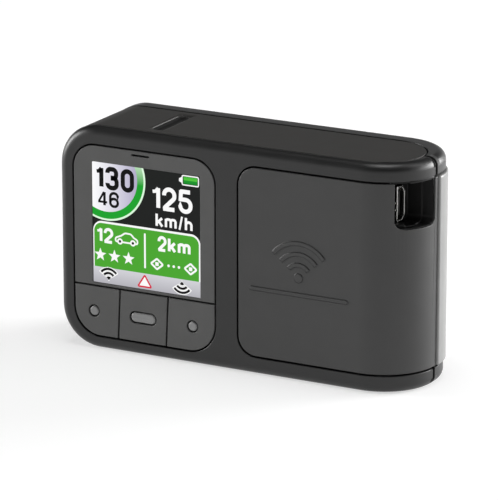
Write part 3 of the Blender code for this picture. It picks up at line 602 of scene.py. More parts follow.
def grille_places():
    """Holes on a triangular grid, those within reach of the loudspeaker's centre."""
    low, high = corner_box("speaker_basket")
    middle = (low + high) / 2
    rows = int(GRILLE_REACH / GRILLE_PITCH) + 1
    for row in range(-rows, rows + 1):
        for column in range(-rows, rows + 1):
            across = (column + (row % 2) / 2) * GRILLE_PITCH
            up = row * GRILLE_PITCH * math.sqrt(3) / 2
            if math.hypot(across, up) <= GRILLE_REACH:
                yield middle.x + across, middle.z + up


# ---------------------------------------------------------------- on/off bar

BAR_WIDE = 2.6 * MM
BAR_GAP = 0.12 * MM
SCOOP_LEFT = 1.9 * MM
SCOOP_FLOOR = 0.6 * MM
SCOOP_RIGHT = 2.2 * MM
SCOOP_MARGIN = 0.7 * MM
SCOOP_END = 1.6 * MM
SCOOP_DEEP = 0.7 * MM
SCOOP_STEPS = 12
BAR_LOW_CORNER, BAR_HIGH_CORNER = corner_box("on_off_bar")
BAR_X = (BAR_LOW_CORNER.x + BAR_HIGH_CORNER.x) / 2
BAR_REACH = 1.0 * MM
BAR_RIM_R = 0.06 * MM
BAR_FLANGE_THICK = 0.8 * MM
BAR_FRONT = BAR_LOW_CORNER.y + BAR_REACH
BAR_BACK = BAR_HIGH_CORNER.y - BAR_REACH


def bar_scoop():
    """Hollow round the bar: a steep slope on its left, a long easy one on its right, and rounded ends."""
    top = HEIGHT - SHELL_RECESS
    front, back = BAR_FRONT - SCOOP_MARGIN, BAR_BACK + SCOOP_MARGIN
    left, deepest, right = BAR_X - SCOOP_LEFT, BAR_X - SCOOP_FLOOR, BAR_X + SCOOP_RIGHT
    shares = [step / SCOOP_STEPS for step in range(SCOOP_STEPS + 1)]
    # Each pair is a place across the hollow and its share of the depth.
    profile = [(left + (deepest - left) * share, (1 - math.cos(math.pi * share)) / 2) for share in shares]
    profile += [(deepest + (right - deepest) * share, 1 - share ** 1.5) for share in shares[1:]]
    ends = [SCOOP_END * (1 - math.cos(math.pi / 2 * share)) for share in shares]
    places = [front + end for end in ends] + [back - end for end in reversed(ends)]
    sections = []
    for place in places:
        from_end = min(place - front, back - place, SCOOP_END) / SCOOP_END
        deep = SCOOP_DEEP * math.sqrt(1 - (1 - from_end) ** 2)
        section = [(x, place, top + HAIR - deep * share) for x, share in profile]
        section += [(right, place, top + OVERRUN), (left, place, top + OVERRUN)]
        sections.append(section)
    return loft("bar_scoop", sections)


def bar_plan(grow):
    half = BAR_WIDE / 2 + grow
    radii = (half - HAIR,) * 4
    return rectangle(BAR_X - half, BAR_FRONT - grow, BAR_X + half, BAR_BACK + grow, radii)


def bar_slot():
    return prism("bar_slot", "Z", HEIGHT - WALL - OVERRUN, HEIGHT + OVERRUN, bar_plan(BAR_GAP))


def build_bar():
    """The bar's top carries the hollow's surface on."""
    bar = prism("bar", "Z", BAR_LOW_CORNER.z, HEIGHT - SHELL_RECESS, bar_plan(0))
    cut(bar, bar_scoop())
    flange_top = HEIGHT - WALL - FIT_GAP
    join(bar, prism("flange", "Z", flange_top - BAR_FLANGE_THICK, flange_top, bar_plan(BAR_REACH)))
    soften(bar, BAR_RIM_R, 2)
    # The bar's near-black colour is partly painted shade of the hollow.
    finished(bar, "on_off_bar_moulding", BAR_RUBBER_PAINTED_SHADE, "frame_plastic", "on_off_key", "on_off_bar")


# ---------------------------------------------------------------- display panel

PIP_RING = 0.30 * MM
PIP_DEEP = 1.0 * MM
KEY_SEAM_LEAN = 0.5 * MM
BEZEL_RIM_R = 0.12 * MM
KEY_RIM_R = 0.15 * MM
LENS_RIM_R = 0.35 * MM


def build_bezel():
    bezel = prism("bezel", "Y", 0, PANEL_THICK, panel_outline(SEAM, low=KEY_LINE - SEAM / 2))
    view = rectangle(SCREEN_LEFT, SCREEN_LOW, SCREEN_RIGHT, SCREEN_HIGH, (SCREEN_CORNER_R,) * 4)
    half = SLOT_LONG / 2
    slot = rectangle(SLOT_X - half, SLOT_Z - SLOT_WIDE / 2, SLOT_X + half, SLOT_Z + SLOT_WIDE / 2)
    cut(bezel, prism("holes", "Y", -OVERRUN, OVERRUN, view, slot))
    soften(bezel, BEZEL_RIM_R)
    finished(bezel, "bezel_moulding", PANEL_PLASTIC, "panel_plastic", "housing", "display_bezel")


def key_outline(side):
    """The outer keys follow the panel's lower corners, and the seams between keys lean a little."""
    low, high = corner_box(f"key_{side}")
    corner = PANEL_LOW_R - SEAM
    left_low = low.x
    left_high = low.x + (KEY_SEAM_LEAN if side != "left" else 0)
    right_low = high.x - (KEY_SEAM_LEAN if side != "right" else 0)
    corners = [(left_low, low.z), (right_low, low.z), (high.x, high.z), (left_high, high.z)]
    return rounded(corners, [corner if side == "left" else 0, corner if side == "right" else 0, 0, 0])


def pip_outline(side, grow):
    low, high = corner_box(f"key_insert_{side}")
    radius = (high.z - low.z) / 2 + grow - HAIR
    return rectangle(low.x - grow, low.z - grow, high.x + grow, high.z + grow, (radius,) * 4)


def build_keys():
    for side, body in BODY_OF_KEY.items():
        key = prism("key", "Y", 0, PANEL_THICK, key_outline(side))
        cut(key, prism("seat", "Y", -OVERRUN, PIP_DEEP + FIT_GAP, pip_outline(side, PIP_RING)))
        soften(key, KEY_RIM_R)
        finished(key, f"key_cap_{side}", PANEL_PLASTIC, "panel_plastic", body, f"key_{side}")
        pip = prism("pip", "Y", 0, PIP_DEEP, pip_outline(side, 0))
        soften(pip, LENS_RIM_R, 5)
        finished(pip, f"key_lens_{side}", INSERT_PLASTIC, "insert_plastic", body, f"key_insert_{side}")


# ---------------------------------------------------------------- lit picture

SCREEN = (SCREEN_LEFT, SCREEN_LOW, SCREEN_RIGHT, SCREEN_HIGH)
PICTURE_LEFT = SCREEN_LEFT + SCREEN_GAP
PICTURE_LOW = SCREEN_LOW + SCREEN_GAP
PICTURE_RIGHT = SCREEN_RIGHT - SCREEN_GAP
PICTURE_HIGH = SCREEN_HIGH - SCREEN_GAP

# Limit disc, cut off by the screen's left and top edges.
DISC_X = 11.6 * MM
DISC_Z = 38.3 * MM
DISC_R = 9.5 * MM
DISC_RIM = 0.42 * MM
DISC_BAND = 1.95 * MM
DISC_FACETS = 120
# Where the ring's and the face's colours start and end their change, up and across from the centre.
RING_FADE = (-0.8 * MM, 3.7 * MM)
FACE_FADE = (-3.0 * MM, 7.5 * MM)

# Card: the green panel with a white border, over the strip at the bottom.
STRIP_HIGH = 18.4 * MM
CARD = (8.3 * MM, STRIP_HIGH, 34.25 * MM, 28.55 * MM)
CARD_FACE = (8.55 * MM, STRIP_HIGH, 33.9 * MM, 28.1 * MM)
CARD_R = 2.2 * MM
CARD_BORDER = 0.4 * MM
CARD_RULE = 0.42 * MM
CARD_RULE_ENDS = ((20.9, 19.6), (20.9, 27.2))
STARS_X = (10.0, 13.45, 16.9)
STAR_Z = 21.1
STAR_R = 1.5
STAR_NOTCH = 0.42

# Signs on the screen: places in mm, each with its corner radius where there is a third value.
BATTERY = (30.3 * MM, 39.3 * MM, 33.6 * MM, 40.85 * MM)
BATTERY_FADE = (39.2 * MM, 40.9 * MM)
BATTERY_LINE = 0.26 * MM
BATTERY_CASE = ((29.95, 39.05, 0.3), (33.85, 39.05, 0.3), (33.85, 41.05, 0.3), (29.95, 41.05, 0.3))
BATTERY_TIP = ((29.2, 39.75, 0.1), (29.85, 39.4, 0.1), (29.85, 40.7, 0.1), (29.2, 40.35, 0.1))
CAR = (
    (13.8, 24.55, 0.3), (13.75, 25.35, 0.5), (15.1, 25.9, 0.5), (16.1, 26.6, 0.8),
    (17.5, 26.55, 0.8), (18.2, 25.85, 0.5), (19.1, 25.4, 0.5), (19.1, 24.55, 0.3),
)
CAR_LINE = 0.36 * MM
WHEELS_X = (14.85, 18.0)
WHEEL_Z = 24.65
WHEEL_R = 0.68
HUB_R = 0.3
MARKERS_X = (23.8, 31.9)
MARKER_Z = 20.9
MARKER_WIDE = 1.45
MARKER_TALL = 1.15
MARKER_CORE = 0.4
MARKER_CORNER_R = 0.2
MARKER_LINE = 0.42 * MM
DOTS_X = (26.6, 27.85, 29.1)
DOT_R = 0.3
WARNING = ((19.15, 15.45, 0.15), (22.4, 15.45, 0.15), (20.8, 18.0, 0.15))
WARNING_LINE = 0.36 * MM

# Key legends: the centre in mm and the direction of each set of waves, then each wave's radius and width.
LEGENDS = ((12.0, 15.75, 90), (29.8, 17.85, 270))
WAVES = ((0.35, 0.8), (1.5, 0.52), (2.4, 0.52))
WAVE_EDGE = 0.4
WAVE_SPREAD = 50
WAVE_EDGE_SPREAD = 56

# Words on the screen: left, low, right and high in mm, then the stroke's share of the height.
WORDS = {
    "130": (8.8, 35.6, 18.4, 40.7, 0.20),
    "46": (9.5, 31.8, 14.7, 35.3, 0.172),
    "125": (22.4, 32.8, 32.4, 38.0, 0.175),
    "km/h": (23.5, 29.0, 32.4, 32.2, 0.175),
    "12": (9.0, 23.8, 13.2, 27.2, 0.19),
    "2km": (24.0, 23.8, 31.9, 27.2, 0.19),
}

# Glyphs on a unit square. Each stroke is a kind, then its (x, y, corner radius) points.
GLYPHS = {
    "0": [("ring", (0, 0, 0.5), (1, 0, 0.5), (1, 1, 0.5), (0, 1, 0.5))],
    "1": [("line", (1, 0, 0), (1, 1, 0)), ("thin", (0, 0.80, 0), (0.5, 0.82, 0.3), (1, 0.99, 0))],
    "2": [
        ("line", (0, 0.68, 0), (0, 1, 0.5), (1, 1, 0.5), (1, 0.58, 0.4), (0.06, 0.06, 0.1), (0.06, 0, 0)),
        ("line", (-0.1, 0, 0), (1, 0, 0)),
    ],
    "3": [
        ("line", (0, 0.78, 0), (0, 1, 0.35), (0.95, 1, 0.38), (0.95, 0.52, 0.38), (0.35, 0.52, 0)),
        ("line", (0.35, 0.54, 0), (1, 0.54, 0.4), (1, 0, 0.42), (0, 0, 0.42), (0, 0.24, 0)),
    ],
    "4": [
        ("line", (0.75, 0, 0), (0.75, 1, 0)),
        ("thin", (0.68, 1, 0), (0, 0.27, 0)),
        ("thin", (-0.1, 0.24, 0), (1.1, 0.24, 0)),
    ],
    "5": [
        ("line", (0, 1, 0), (0.95, 1, 0)),
        ("line", (0.08, 1.05, 0), (0.02, 0.50, 0)),
        ("line", (0.02, 0.60, 0), (1, 0.60, 0.48), (1, 0, 0.5), (0, 0, 0.5), (0, 0.24, 0)),
    ],
    "6": [
        ("ring", (0, 0, 0.45), (1, 0, 0.45), (1, 0.57, 0.45), (0, 0.57, 0.45)),
        ("line", (0, 0.3, 0), (0, 1, 0.5), (1, 1, 0.45), (1, 0.86, 0)),
    ],
    "k": [
        ("line", (0, 0, 0), (0, 1, 0)),
        ("line", (0.95, 0.68, 0), (0.05, 0.25, 0)),
        ("line", (0.35, 0.40, 0), (0.98, 0, 0)),
    ],
    "m": [
        ("line", (0, 0, 0), (0, 0.68, 0)),
        ("line", (0, 0.4, 0), (0, 0.66, 0.2), (0.5, 0.66, 0.2), (0.5, 0, 0)),
        ("line", (0.5, 0.4, 0), (0.5, 0.66, 0.2), (1, 0.66, 0.2), (1, 0, 0)),
    ],
    "h": [
        ("line", (0, 0, 0), (0, 1, 0)),
        ("line", (0, 0.4, 0), (0, 0.66, 0.5), (1, 0.66, 0.5), (1, 0, 0)),
    ],
    "/": [("thin", (0.1, -0.05, 0), (0.9, 1.05, 0))],
}
THIN = 0.78
GLYPH_WIDTH = {"1": 0.40, "k": 0.58, "m": 0.86, "h": 0.56, "/": 0.40}
DIGIT_WIDTH = 0.60
GLYPH_GAP = 0.09


def add_ribbon(bm, path, width, front, closed=False):
    """Flat strip of the picture along a path, one layer thick."""
    count = len(path)
    sections = []
    for index, here in enumerate(path):
        before = path[index - 1] if closed or index else here
        after = path[(index + 1) % count] if closed or index < count - 1 else here
        ahead = (after - here).normalized() if after != here else Vector((0, 0))
        along = (here - before).normalized() if before != here else ahead
        ahead = ahead if ahead.length else along
        tangent = (along + ahead).normalized()
        across = Vector((-tangent.y, tangent.x)) * width / 2 / max(tangent.dot(ahead), 0.5)
        sections.append([
            bm.verts.new((side.x, depth, side.y))
            for side, depth in (
                (here + across, front), (here - across, front),
                (here - across, front + LAYER), (here + across, front + LAYER),
            )
        ])
    following = sections[1:] + sections[:1] if closed else sections[1:]
    for near, far in zip(sections, following):
        for edge in range(4):
            after = (edge + 1) % 4
            bm.faces.new((near[edge], near[after], far[after], far[edge]))
    if not closed:
        bm.faces.new(sections[0])
        bm.faces.new(sections[-1])


def layer_front(layer):
    """Depth of the front of a layer of the picture. Layer 1 lies on the window."""
    return PICTURE_DEEP - layer * LAYER_PITCH


def in_mm(points):
    """Points given in mm, in metres."""
    return [Vector(point[:2]) * MM for point in points]


def corner_radii(points):
    return [radius * MM for _, _, radius in points]


class Picture:
    """Everything of one colour in the picture. Crossing strokes lie on different sheets, which are joined."""

    def __init__(self, name, material):
        self.name = name
        self.material = material
        self.sheets = [bmesh.new() for _ in range(3)]

    def plate(self, layer, outline):
        front = layer_front(layer)
        add_prism(self.sheets[0], "Y", front, front + LAYER, outline)

    def strip(self, layer, width, corners, radii=None, closed=False, sheet=0):
        path = rounded(corners, radii or [0] * len(corners), closed)
        add_ribbon(self.sheets[sheet], path, width, layer_front(layer), closed)

    def outline(self, layer, width, points):
        """Closed line through points that each hold a corner radius."""
        self.strip(layer, width, in_mm(points), corner_radii(points), closed=True)

    def text(self, layer, words):
        """Words fitted into their box."""
        *box, weight = WORDS[words]
        left, low, right, high = (edge * MM for edge in box)
        tall = high - low
        stroke = weight * tall
        widths = [GLYPH_WIDTH.get(glyph, DIGIT_WIDTH) for glyph in words]
        scale = (right - left) / (sum(widths) + GLYPH_GAP * (len(words) - 1))
        start = left
        for glyph, width in zip(words, widths):
            room = width * scale - stroke
            corner = Vector((start + stroke / 2, low + stroke / 2))
            for sheet, (kind, *points) in enumerate(GLYPHS[glyph]):
                corners = [corner + Vector((x * room, y * (tall - stroke))) for x, y, _ in points]
                radii = [radius * room for _, _, radius in points]
                line = stroke * THIN if kind == "thin" else stroke
                self.strip(layer, line, corners, radii, kind == "ring", sheet)
            start += (width + GLYPH_GAP) * scale

    def arc(self, layer, x, z, radius, width, middle, spread):
        """Arc of a circle about (x, z), spread degrees to each side of the middle direction."""
        steps = 16
        turns = [math.radians(middle - spread + 2 * spread * step / steps) for step in range(steps + 1)]
        path = [Vector((x + radius * math.cos(turn), z + radius * math.sin(turn))) for turn in turns]
        add_ribbon(self.sheets[0], path, width, layer_front(layer))

    def done(self, trim=False):
        piece, *others = [new_object(self.name, sheet) for sheet in self.sheets if sheet.verts]
        join(piece, *others)
        if trim:
            keep(piece, prism("view", "Y", -OVERRUN, OVERRUN, rectangle(*SCREEN)))
        finished(piece, self.name, self.material, "screen_glass", "housing")


def star(x, z, radius):
    points = []
    for step in range(10):
        reach = radius if step % 2 == 0 else radius * STAR_NOTCH
        turn = math.pi / 2 + step * math.pi / 5
        points.append((x + reach * math.cos(turn), z + reach * math.sin(turn)))
    return points


def build_window():
    plan = rectangle(PICTURE_LEFT, PICTURE_LOW, PICTURE_RIGHT, PICTURE_HIGH, (SCREEN_CORNER_R,) * 4)
    window = prism("window", "Y", PICTURE_DEEP, PANEL_THICK, plan)
    finished(window, "screen_window", SCREEN_GLASS, "window_acrylic", "housing", "display_window")


def build_disc():
    """Pale rim, green ring and white face, one over the other."""
    ring_ends = [DISC_Z + up for up in RING_FADE]
    face_ends = [DISC_X + CORNER.x + across for across in FACE_FADE]
    greens = (0.0, linear(18, 160, 40)), (1.0, linear(190, 226, 190))
    whites = (0.0, linear(250, 250, 252)), (1.0, linear(176, 170, 200))
    ring_look = lit_fade("lit_ring", "Z", *ring_ends, *greens)
    face_look = lit_fade("lit_face", "X", *face_ends, *whites)
    discs = (
        ("picture_disc_rim", lit("lit_rim", linear(222, 250, 222)), DISC_R),
        ("picture_disc_ring", ring_look, DISC_R - DISC_RIM),
        ("picture_disc_face", face_look, DISC_R - DISC_BAND),
    )
    for layer, (name, look, radius) in enumerate(discs, 1):
        disc = Picture(name, look)
        disc.plate(layer, circle(DISC_X, DISC_Z, radius, DISC_FACETS))
        disc.done(trim=True)


def draw_battery(white):
    charge = Picture("picture_battery", lit_fade(
        "lit_battery", "Z", *BATTERY_FADE, (0.0, linear(0, 128, 30)), (0.5, linear(20, 150, 40)),
        (0.55, linear(84, 200, 60)), (1.0, linear(60, 180, 50))))
    charge.plate(2, rectangle(*BATTERY))
    charge.done()
    white.outline(1, BATTERY_LINE, BATTERY_CASE)
    white.plate(1, rounded(in_mm(BATTERY_TIP), corner_radii(BATTERY_TIP)))


def draw_card(white, green):
    white.plate(1, rectangle(*CARD, (0, 0, CARD_R, CARD_R)))
    face_r = CARD_R - CARD_BORDER
    green.plate(2, rectangle(*CARD_FACE, (0, 0, face_r, face_r)))
    white.text(3, "12")
    white.text(3, "2km")
    white.strip(3, CARD_RULE, in_mm(CARD_RULE_ENDS))
    for x in STARS_X:
        white.plate(3, star(x * MM, STAR_Z * MM, STAR_R * MM))


def draw_car(white, black):
    white.outline(3, CAR_LINE, CAR)
    for x in WHEELS_X:
        white.plate(4, circle(x * MM, WHEEL_Z * MM, WHEEL_R * MM, 32))
        black.plate(5, circle(x * MM, WHEEL_Z * MM, HUB_R * MM, 24))


def draw_markers(white):
    """Two diamonds joined by dots."""
    for x in MARKERS_X:
        steps = ((0, -MARKER_TALL), (MARKER_WIDE, 0), (0, MARKER_TALL), (-MARKER_WIDE, 0))
        diamond = [(x + across, MARKER_Z + up, MARKER_CORNER_R) for across, up in steps]
        white.outline(3, MARKER_LINE, diamond)
        core = (x - MARKER_CORE, MARKER_Z - MARKER_CORE, x + MARKER_CORE, MARKER_Z + MARKER_CORE)
        white.plate(3, rectangle(*(edge * MM for edge in core)))
    for x in DOTS_X:
        white.plate(3, circle(x * MM, MARKER_Z * MM, DOT_R * MM, 24))


def draw_legends(white, black):
    """The pale strip at the bottom, and the waves over the left and right key."""
    strip = Picture("picture_strip", lit_fade(
        "lit_strip", "Z", SCREEN_LOW, STRIP_HIGH, (0.0, linear(178, 177, 184)), (1.0, linear(210, 210, 216))))
    strip.plate(1, rectangle(PICTURE_LEFT, PICTURE_LOW, PICTURE_RIGHT, STRIP_HIGH))
    strip.done()
    for x, z, middle in LEGENDS:
        for radius, width in WAVES:
            edged = width + WAVE_EDGE
            white.arc(2, x * MM, z * MM, radius * MM, edged * MM, middle, WAVE_EDGE_SPREAD)
            black.arc(3, x * MM, z * MM, radius * MM, width * MM, middle, WAVE_SPREAD)


def build_picture():
    build_window()
    build_disc()
    white = Picture("picture_white", lit("lit_white", linear(250, 250, 250)))
    black = Picture("picture_black", lit("lit_black", linear(6, 6, 8), 0.002))
    green = Picture("picture_green", lit("lit_green", linear(72, 165, 44)))
    black.text(4, "130")
    black.text(4, "46")
    white.text(1, "125")
    white.text(1, "km/h")
    draw_battery(white)
    draw_card(white, green)
    draw_car(white, black)
    draw_markers(white)
    draw_legends(white, black)
    red = Picture("picture_red", lit("lit_red", linear(214, 40, 66)))
    white.plate(2, in_mm(WARNING))
    red.outline(3, WARNING_LINE, WARNING)
    for picture in (white, black, green, red):
        picture.done()


# ---------------------------------------------------------------- plug bay

BAY_FRONT = 2.3 * MM
BAY_BACK = 11.0 * MM
BAY_LOW = COVER_HIGH - 10.25 * MM
BAY_CORNER_R = 1.8 * MM
BAY_STEP = LENGTH - 2.8 * MM
BAY_LEDGE = 0.6 * MM
BAY_WALL = 1.1 * MM
BAY_BASE = 2.2 * MM
BAY_ROOF = COVER_HIGH - 0.35 * MM
SOCKET_X = LENGTH - 6.3 * MM
SOCKET_Y = 8.0 * MM
SOCKET_Z = COVER_HIGH - 5.95 * MM
SOCKET_TURN = math.radians(15)
SOCKET_TALL = 7.5 * MM
SOCKET_WIDE = 2.6 * MM
SOCKET_DEEP = 5.2 * MM
SOCKET_BACK = 0.5 * MM
SOCKET_CHAMFER = 0.9 * MM
SOCKET_CHAMFER_TALL = 1.17 * MM
SOCKET_CORNER_R = 0.2 * MM
SOCKET_WALL = 0.35 * MM
SOCKET_PROUD = 0.4 * MM
SOCKET_DENT_R = 0.17 * MM
SOCKET_DENT_DEEP = 0.5 * MM
SOCKET_DENTS = ((-1.3 * MM, 0.2 * MM), (-1.3 * MM, -1.3 * MM), (1.3 * MM, 0.5 * MM), (0.1 * MM, 3.75 * MM))
SLEEVE_THICK = 0.25 * MM
SLEEVE_SUNK = 0.2 * MM
TONGUE_THICK = 0.6 * MM
TONGUE_SHORT = 0.6 * MM
CONTACT_PITCH = 0.65 * MM
CONTACT_WIDE = 0.34 * MM
CONTACT_THICK = 0.05 * MM
CONTACT_LONG = 3.6 * MM
SMALL_R = 0.2 * MM
BAY_RIM_R = 0.14 * MM
SOCKET_RIM_R = 0.06 * MM
CONTACT_RIM_R = 0.02 * MM


def bay_outline(shrink):
    radius = BAY_CORNER_R - shrink
    return rectangle(
        BAY_FRONT + shrink, BAY_LOW + shrink, BAY_BACK - shrink, COVER_HIGH + OVERRUN, (radius, radius, 0, 0))


def bay_pocket(shrink):
    radius = BAY_CORNER_R - shrink
    radii = (radius, radius, SMALL_R, SMALL_R)
    return rectangle(BAY_FRONT - OVERRUN, BAY_LOW + shrink, BAY_BACK - shrink, BAY_ROOF - shrink, radii)


def in_bay(solid):
    """Turn a solid about the socket's place: X runs out through the mouth, a little towards the front."""
    turn = Matrix.Rotation(-SOCKET_TURN, 4, "Z")
    solid.data.transform(Matrix.Translation((SOCKET_X, SOCKET_Y, 0)) @ turn)
    return solid


def socket_outline(shrink):
    """The socket's outline, its two bevelled corners towards the back."""
    half_y = SOCKET_WIDE / 2 - shrink
    half_z = SOCKET_TALL / 2 - shrink
    chamfer_y = SOCKET_CHAMFER - shrink / 2
    bevel_z = half_z - SOCKET_CHAMFER_TALL + shrink / 2
    corners = [(-half_y, SOCKET_Z - half_z), (half_y - chamfer_y, SOCKET_Z - half_z)]
    corners += [(half_y, SOCKET_Z - bevel_z), (half_y, SOCKET_Z + bevel_z)]
    corners += [(half_y - chamfer_y, SOCKET_Z + half_z), (-half_y, SOCKET_Z + half_z)]
    return rounded(corners, [SOCKET_CORNER_R] * 6)


def build_bay():
    """Black liner with a sleeve out through the mouth, and the steel socket in its floor."""
    foot = SOCKET_X - BAY_BASE
    walls = (BAY_FRONT - BAY_WALL, BAY_LOW - BAY_WALL, BAY_BACK + BAY_WALL, BAY_ROOF + BAY_WALL)
    bay = prism("bay", "X", foot, LENGTH + OVERRUN, rectangle(*walls))
    keep(bay, block("room", WALL + FIT_GAP))
    mouth = rectangle(BAY_FRONT, BAY_LOW, BAY_BACK, COVER_HIGH, (BAY_CORNER_R, BAY_CORNER_R, 0, 0))
    join(bay, keep(prism("sleeve", "X", BAY_STEP, LENGTH + OVERRUN, mouth), block("skin", SLEEVE_SUNK)))
    depths = rectangle(-DEPTH, 0, DEPTH, HEIGHT)
    narrow = prism("narrow", "X", foot, LENGTH + OVERRUN, bay_pocket(BAY_LEDGE))
    keep(narrow, in_bay(prism("past_floor", "X", -SOCKET_PROUD, DEPTH, depths)))
    wide = prism("wide", "X", BAY_STEP, LENGTH + OVERRUN, bay_pocket(SLEEVE_THICK))
    hole = in_bay(prism("hole", "X", -OVERRUN, OVERRUN, socket_outline(-FIT_GAP)))
    cut(bay, wide, narrow, hole)
    soften(bay, BAY_RIM_R)
    finished(bay, "plug_bay_liner", BLACK_PLASTIC, "black_plastic", "housing", "plug_bay")

    can = in_bay(prism("can", "X", -SOCKET_DEEP, 0, socket_outline(0)))
    cut(can, in_bay(prism("bore", "X", SOCKET_BACK - SOCKET_DEEP, OVERRUN, socket_outline(SOCKET_WALL))))
    dents = [circle(y, SOCKET_Z + z, SOCKET_DENT_R, 16) for y, z in SOCKET_DENTS]
    cut(can, in_bay(prism("dents", "X", -SOCKET_DENT_DEEP, OVERRUN, *dents)))
    soften(can, SOCKET_RIM_R, 2)
    finished(can, "usb_socket_can", SOCKET_STEEL, "socket_steel", "housing", "usb_socket")

    front = -TONGUE_THICK / 2
    strips = []
    for place in range(-2, 3):
        z = SOCKET_Z + place * CONTACT_PITCH
        strips.append(rectangle(front - CONTACT_THICK, z - CONTACT_WIDE / 2, front, z + CONTACT_WIDE / 2))
    contacts = in_bay(prism("contacts", "X", -CONTACT_LONG, -TONGUE_SHORT - CONTACT_WIDE, *strips))
    soften(contacts, CONTACT_RIM_R, 2)
    finished(contacts, "usb_contacts", CONTACT_GOLD, "tinned_steel", "housing")


# ---------------------------------------------------------------- CAD nodes that stay

DISC_STEEL = metal("disc_steel", (0.62, 0.62, 0.61), 0.3, (0.05, 1, 1))
SCREW_STEEL = metal("screw_steel", (0.16, 0.16, 0.165), 0.35)
TINNED_STEEL = metal("tinned_steel", (0.60, 0.60, 0.59), 0.3)
BOARD_LAMINATE = plastic("board_laminate", (0.02, 0.11, 0.045), 0.35)
STAYING = {
    "holder_disc": DISC_STEEL,
    "lcd_cell": plastic("lcd_backing", (0.02, 0.02, 0.02), 0.2, mottle=0.02),
    "backlight_tray": plastic("tray_plastic", (0.6, 0.6, 0.6), 0.4),
    "light_sensor": plastic("sensor_resin", (0.015, 0.015, 0.015), 0.2),
    "key_board": BOARD_LAMINATE,
    "main_board": BOARD_LAMINATE,
    "usb_board": BOARD_LAMINATE,
    "usb_tongue": plastic("tongue_plastic", (0.012, 0.012, 0.012), 0.4),
    "modem_shield": TINNED_STEEL,
    "processor_shield": TINNED_STEEL,
    "on_off_switch": TINNED_STEEL,
    "on_off_plunger": INSERT_PLASTIC,
    "battery": plastic("battery_wrap", (0.35, 0.35, 0.37), 0.3),
    "gps_antenna": plastic("antenna_ceramic", (0.45, 0.40, 0.30), 0.6),
    "cell_antenna": plastic("antenna_plastic", (0.05, 0.05, 0.05), 0.5),
    "speaker_gasket": plastic("gasket_foam", (0.012, 0.012, 0.012), 0.9, grain=0.4 * MM, depth=0.06 * MM),
    "speaker_basket": metal("speaker_steel", (0.5, 0.5, 0.5), 0.4),
    "speaker_cone": plastic("cone_film", (0.02, 0.02, 0.02), 0.45),
}
STAYING.update({f"screw_{number}": SCREW_STEEL for number in range(1, 5)})
STAYING.update({f"key_switch_{side}": TINNED_STEEL for side in BODY_OF_KEY})
STAYING.update({f"key_plunger_{side}": INSERT_PLASTIC for side in BODY_OF_KEY})


def dress_nodes():
    """Give the CAD nodes that stay a fine material and softened edges."""
    for node, material in STAYING.items():
        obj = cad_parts[node]
        obj.data.materials.clear()
        obj.data.materials.append(material)
        weld = obj.modifiers.new("weld", "WELD")
        weld.merge_threshold = 2 * HAIR
        flat = obj.modifiers.new("flat", "DECIMATE")
        flat.decimate_type = "DISSOLVE"
        flat.angle_limit = FLAT_ANGLE
        bevel = obj.modifiers.new("rim", "BEVEL")
        bevel.width = NODE_RIM_R
        bevel.segments = 2
        bevel.limit_method = "ANGLE"
        bevel.angle_limit = SHARP_ANGLE
        obj.data.shade_smooth()
        obj.modifiers.new("normals", "WEIGHTED_NORMAL")


# ---------------------------------------------------------------- studio

LAMP_SIZE = 0.5
LAMP_DISTANCE = 1.1
# Sines of the heights where the backdrop ends and the ceiling starts, then their two strengths.
BACKDROP = (0.10, 0.30, 0.90, 0.06)
FLOOR_REACH = 4.0
FLOOR_THICK = 1.0 * MM
FLOOR_GLOW = 0.55
# Each lamp's turn from the front face towards the right end and rise from the floor in degrees, then watts.
LAMPS = {
    "left": (-75, 12, 10.5),
    "top": (28, 85, 4.5),
    "right_rear": (140, 12, 15.5),
    "right": (115, 12, 3.0),
    "right_high": (115, 50, 1.6),
}
CAMERA_LENS = 279.14
CAMERA_SENSOR = 36
CAMERA_PLACE = (0.36977, -0.69311, 0.25325)
CAMERA_DIP = 16.32
CAMERA_TURN = 28.25


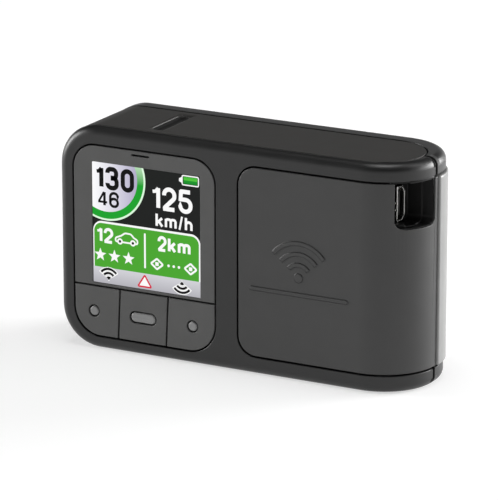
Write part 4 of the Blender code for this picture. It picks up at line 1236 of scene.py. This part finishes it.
def area_light(name, turn, rise, power):
    """Square lamp that faces the part's middle."""
    light = bpy.data.lights.new(name, "AREA")
    light.shape = "SQUARE"
    light.size = LAMP_SIZE
    light.energy = power
    lamp = bpy.data.objects.new(name, light)
    turn, rise = math.radians(turn), math.radians(rise)
    away = Vector((math.sin(turn) * math.cos(rise), -math.cos(turn) * math.cos(rise), math.sin(rise)))
    lamp.location = away * LAMP_DISTANCE + Vector((0, 0, HEIGHT / 2))
    lamp.rotation_euler = away.to_track_quat("Z", "Y").to_euler()
    bpy.context.scene.collection.objects.link(lamp)


def studio_world():
    """White backdrop low down, all round, and a dim ceiling."""
    world = bpy.data.worlds.new("studio")
    world.use_nodes = True
    nodes, links = world.node_tree.nodes, world.node_tree.links
    parts = nodes.new("ShaderNodeSeparateXYZ")
    links.new(nodes.new("ShaderNodeTexCoord").outputs["Generated"], parts.inputs["Vector"])
    level = nodes.new("ShaderNodeMapRange")
    level.interpolation_type = "SMOOTHSTEP"
    for socket, value in zip(("From Min", "From Max", "To Min", "To Max"), BACKDROP):
        level.inputs[socket].default_value = value
    links.new(parts.outputs["Z"], level.inputs["Value"])
    links.new(level.outputs["Result"], nodes["Background"].inputs["Strength"])
    nodes["Background"].inputs["Color"].default_value = (1, 1, 1, 1)
    return world


def build_studio():
    scene = bpy.context.scene
    scene.view_settings.view_transform = "Standard"
    scene.world = studio_world()

    plan = rectangle(-FLOOR_REACH, -FLOOR_REACH, FLOOR_REACH, FLOOR_REACH)
    floor = prism("studio_floor", "Z", -FLOOR_THICK, 0, plan)
    surface = Surface("floor_paper", (0.5, 0.5, 0.5), 0.9, specular=0.1)
    surface.put("Emission Color", (1, 1, 1, 1))
    surface.put("Emission Strength", FLOOR_GLOW)
    surface.bump(surface.noise(2 * MM), 0.01 * MM)
    floor.data.materials.append(surface.material)

    for name, values in LAMPS.items():
        area_light(name, *values)

    camera = bpy.data.objects.new("camera", bpy.data.cameras.new("camera"))
    camera.data.lens = CAMERA_LENS
    camera.data.sensor_width = CAMERA_SENSOR
    camera.data.clip_start = 0.01
    camera.location = CAMERA_PLACE
    camera.rotation_euler = (math.radians(90 - CAMERA_DIP), 0, math.radians(CAMERA_TURN))
    scene.collection.objects.link(camera)
    scene.camera = camera


build_shells()
build_lips()
build_covers()
build_bar()
build_bezel()
build_keys()
build_picture()
build_bay()
dress_nodes()
build_studio()
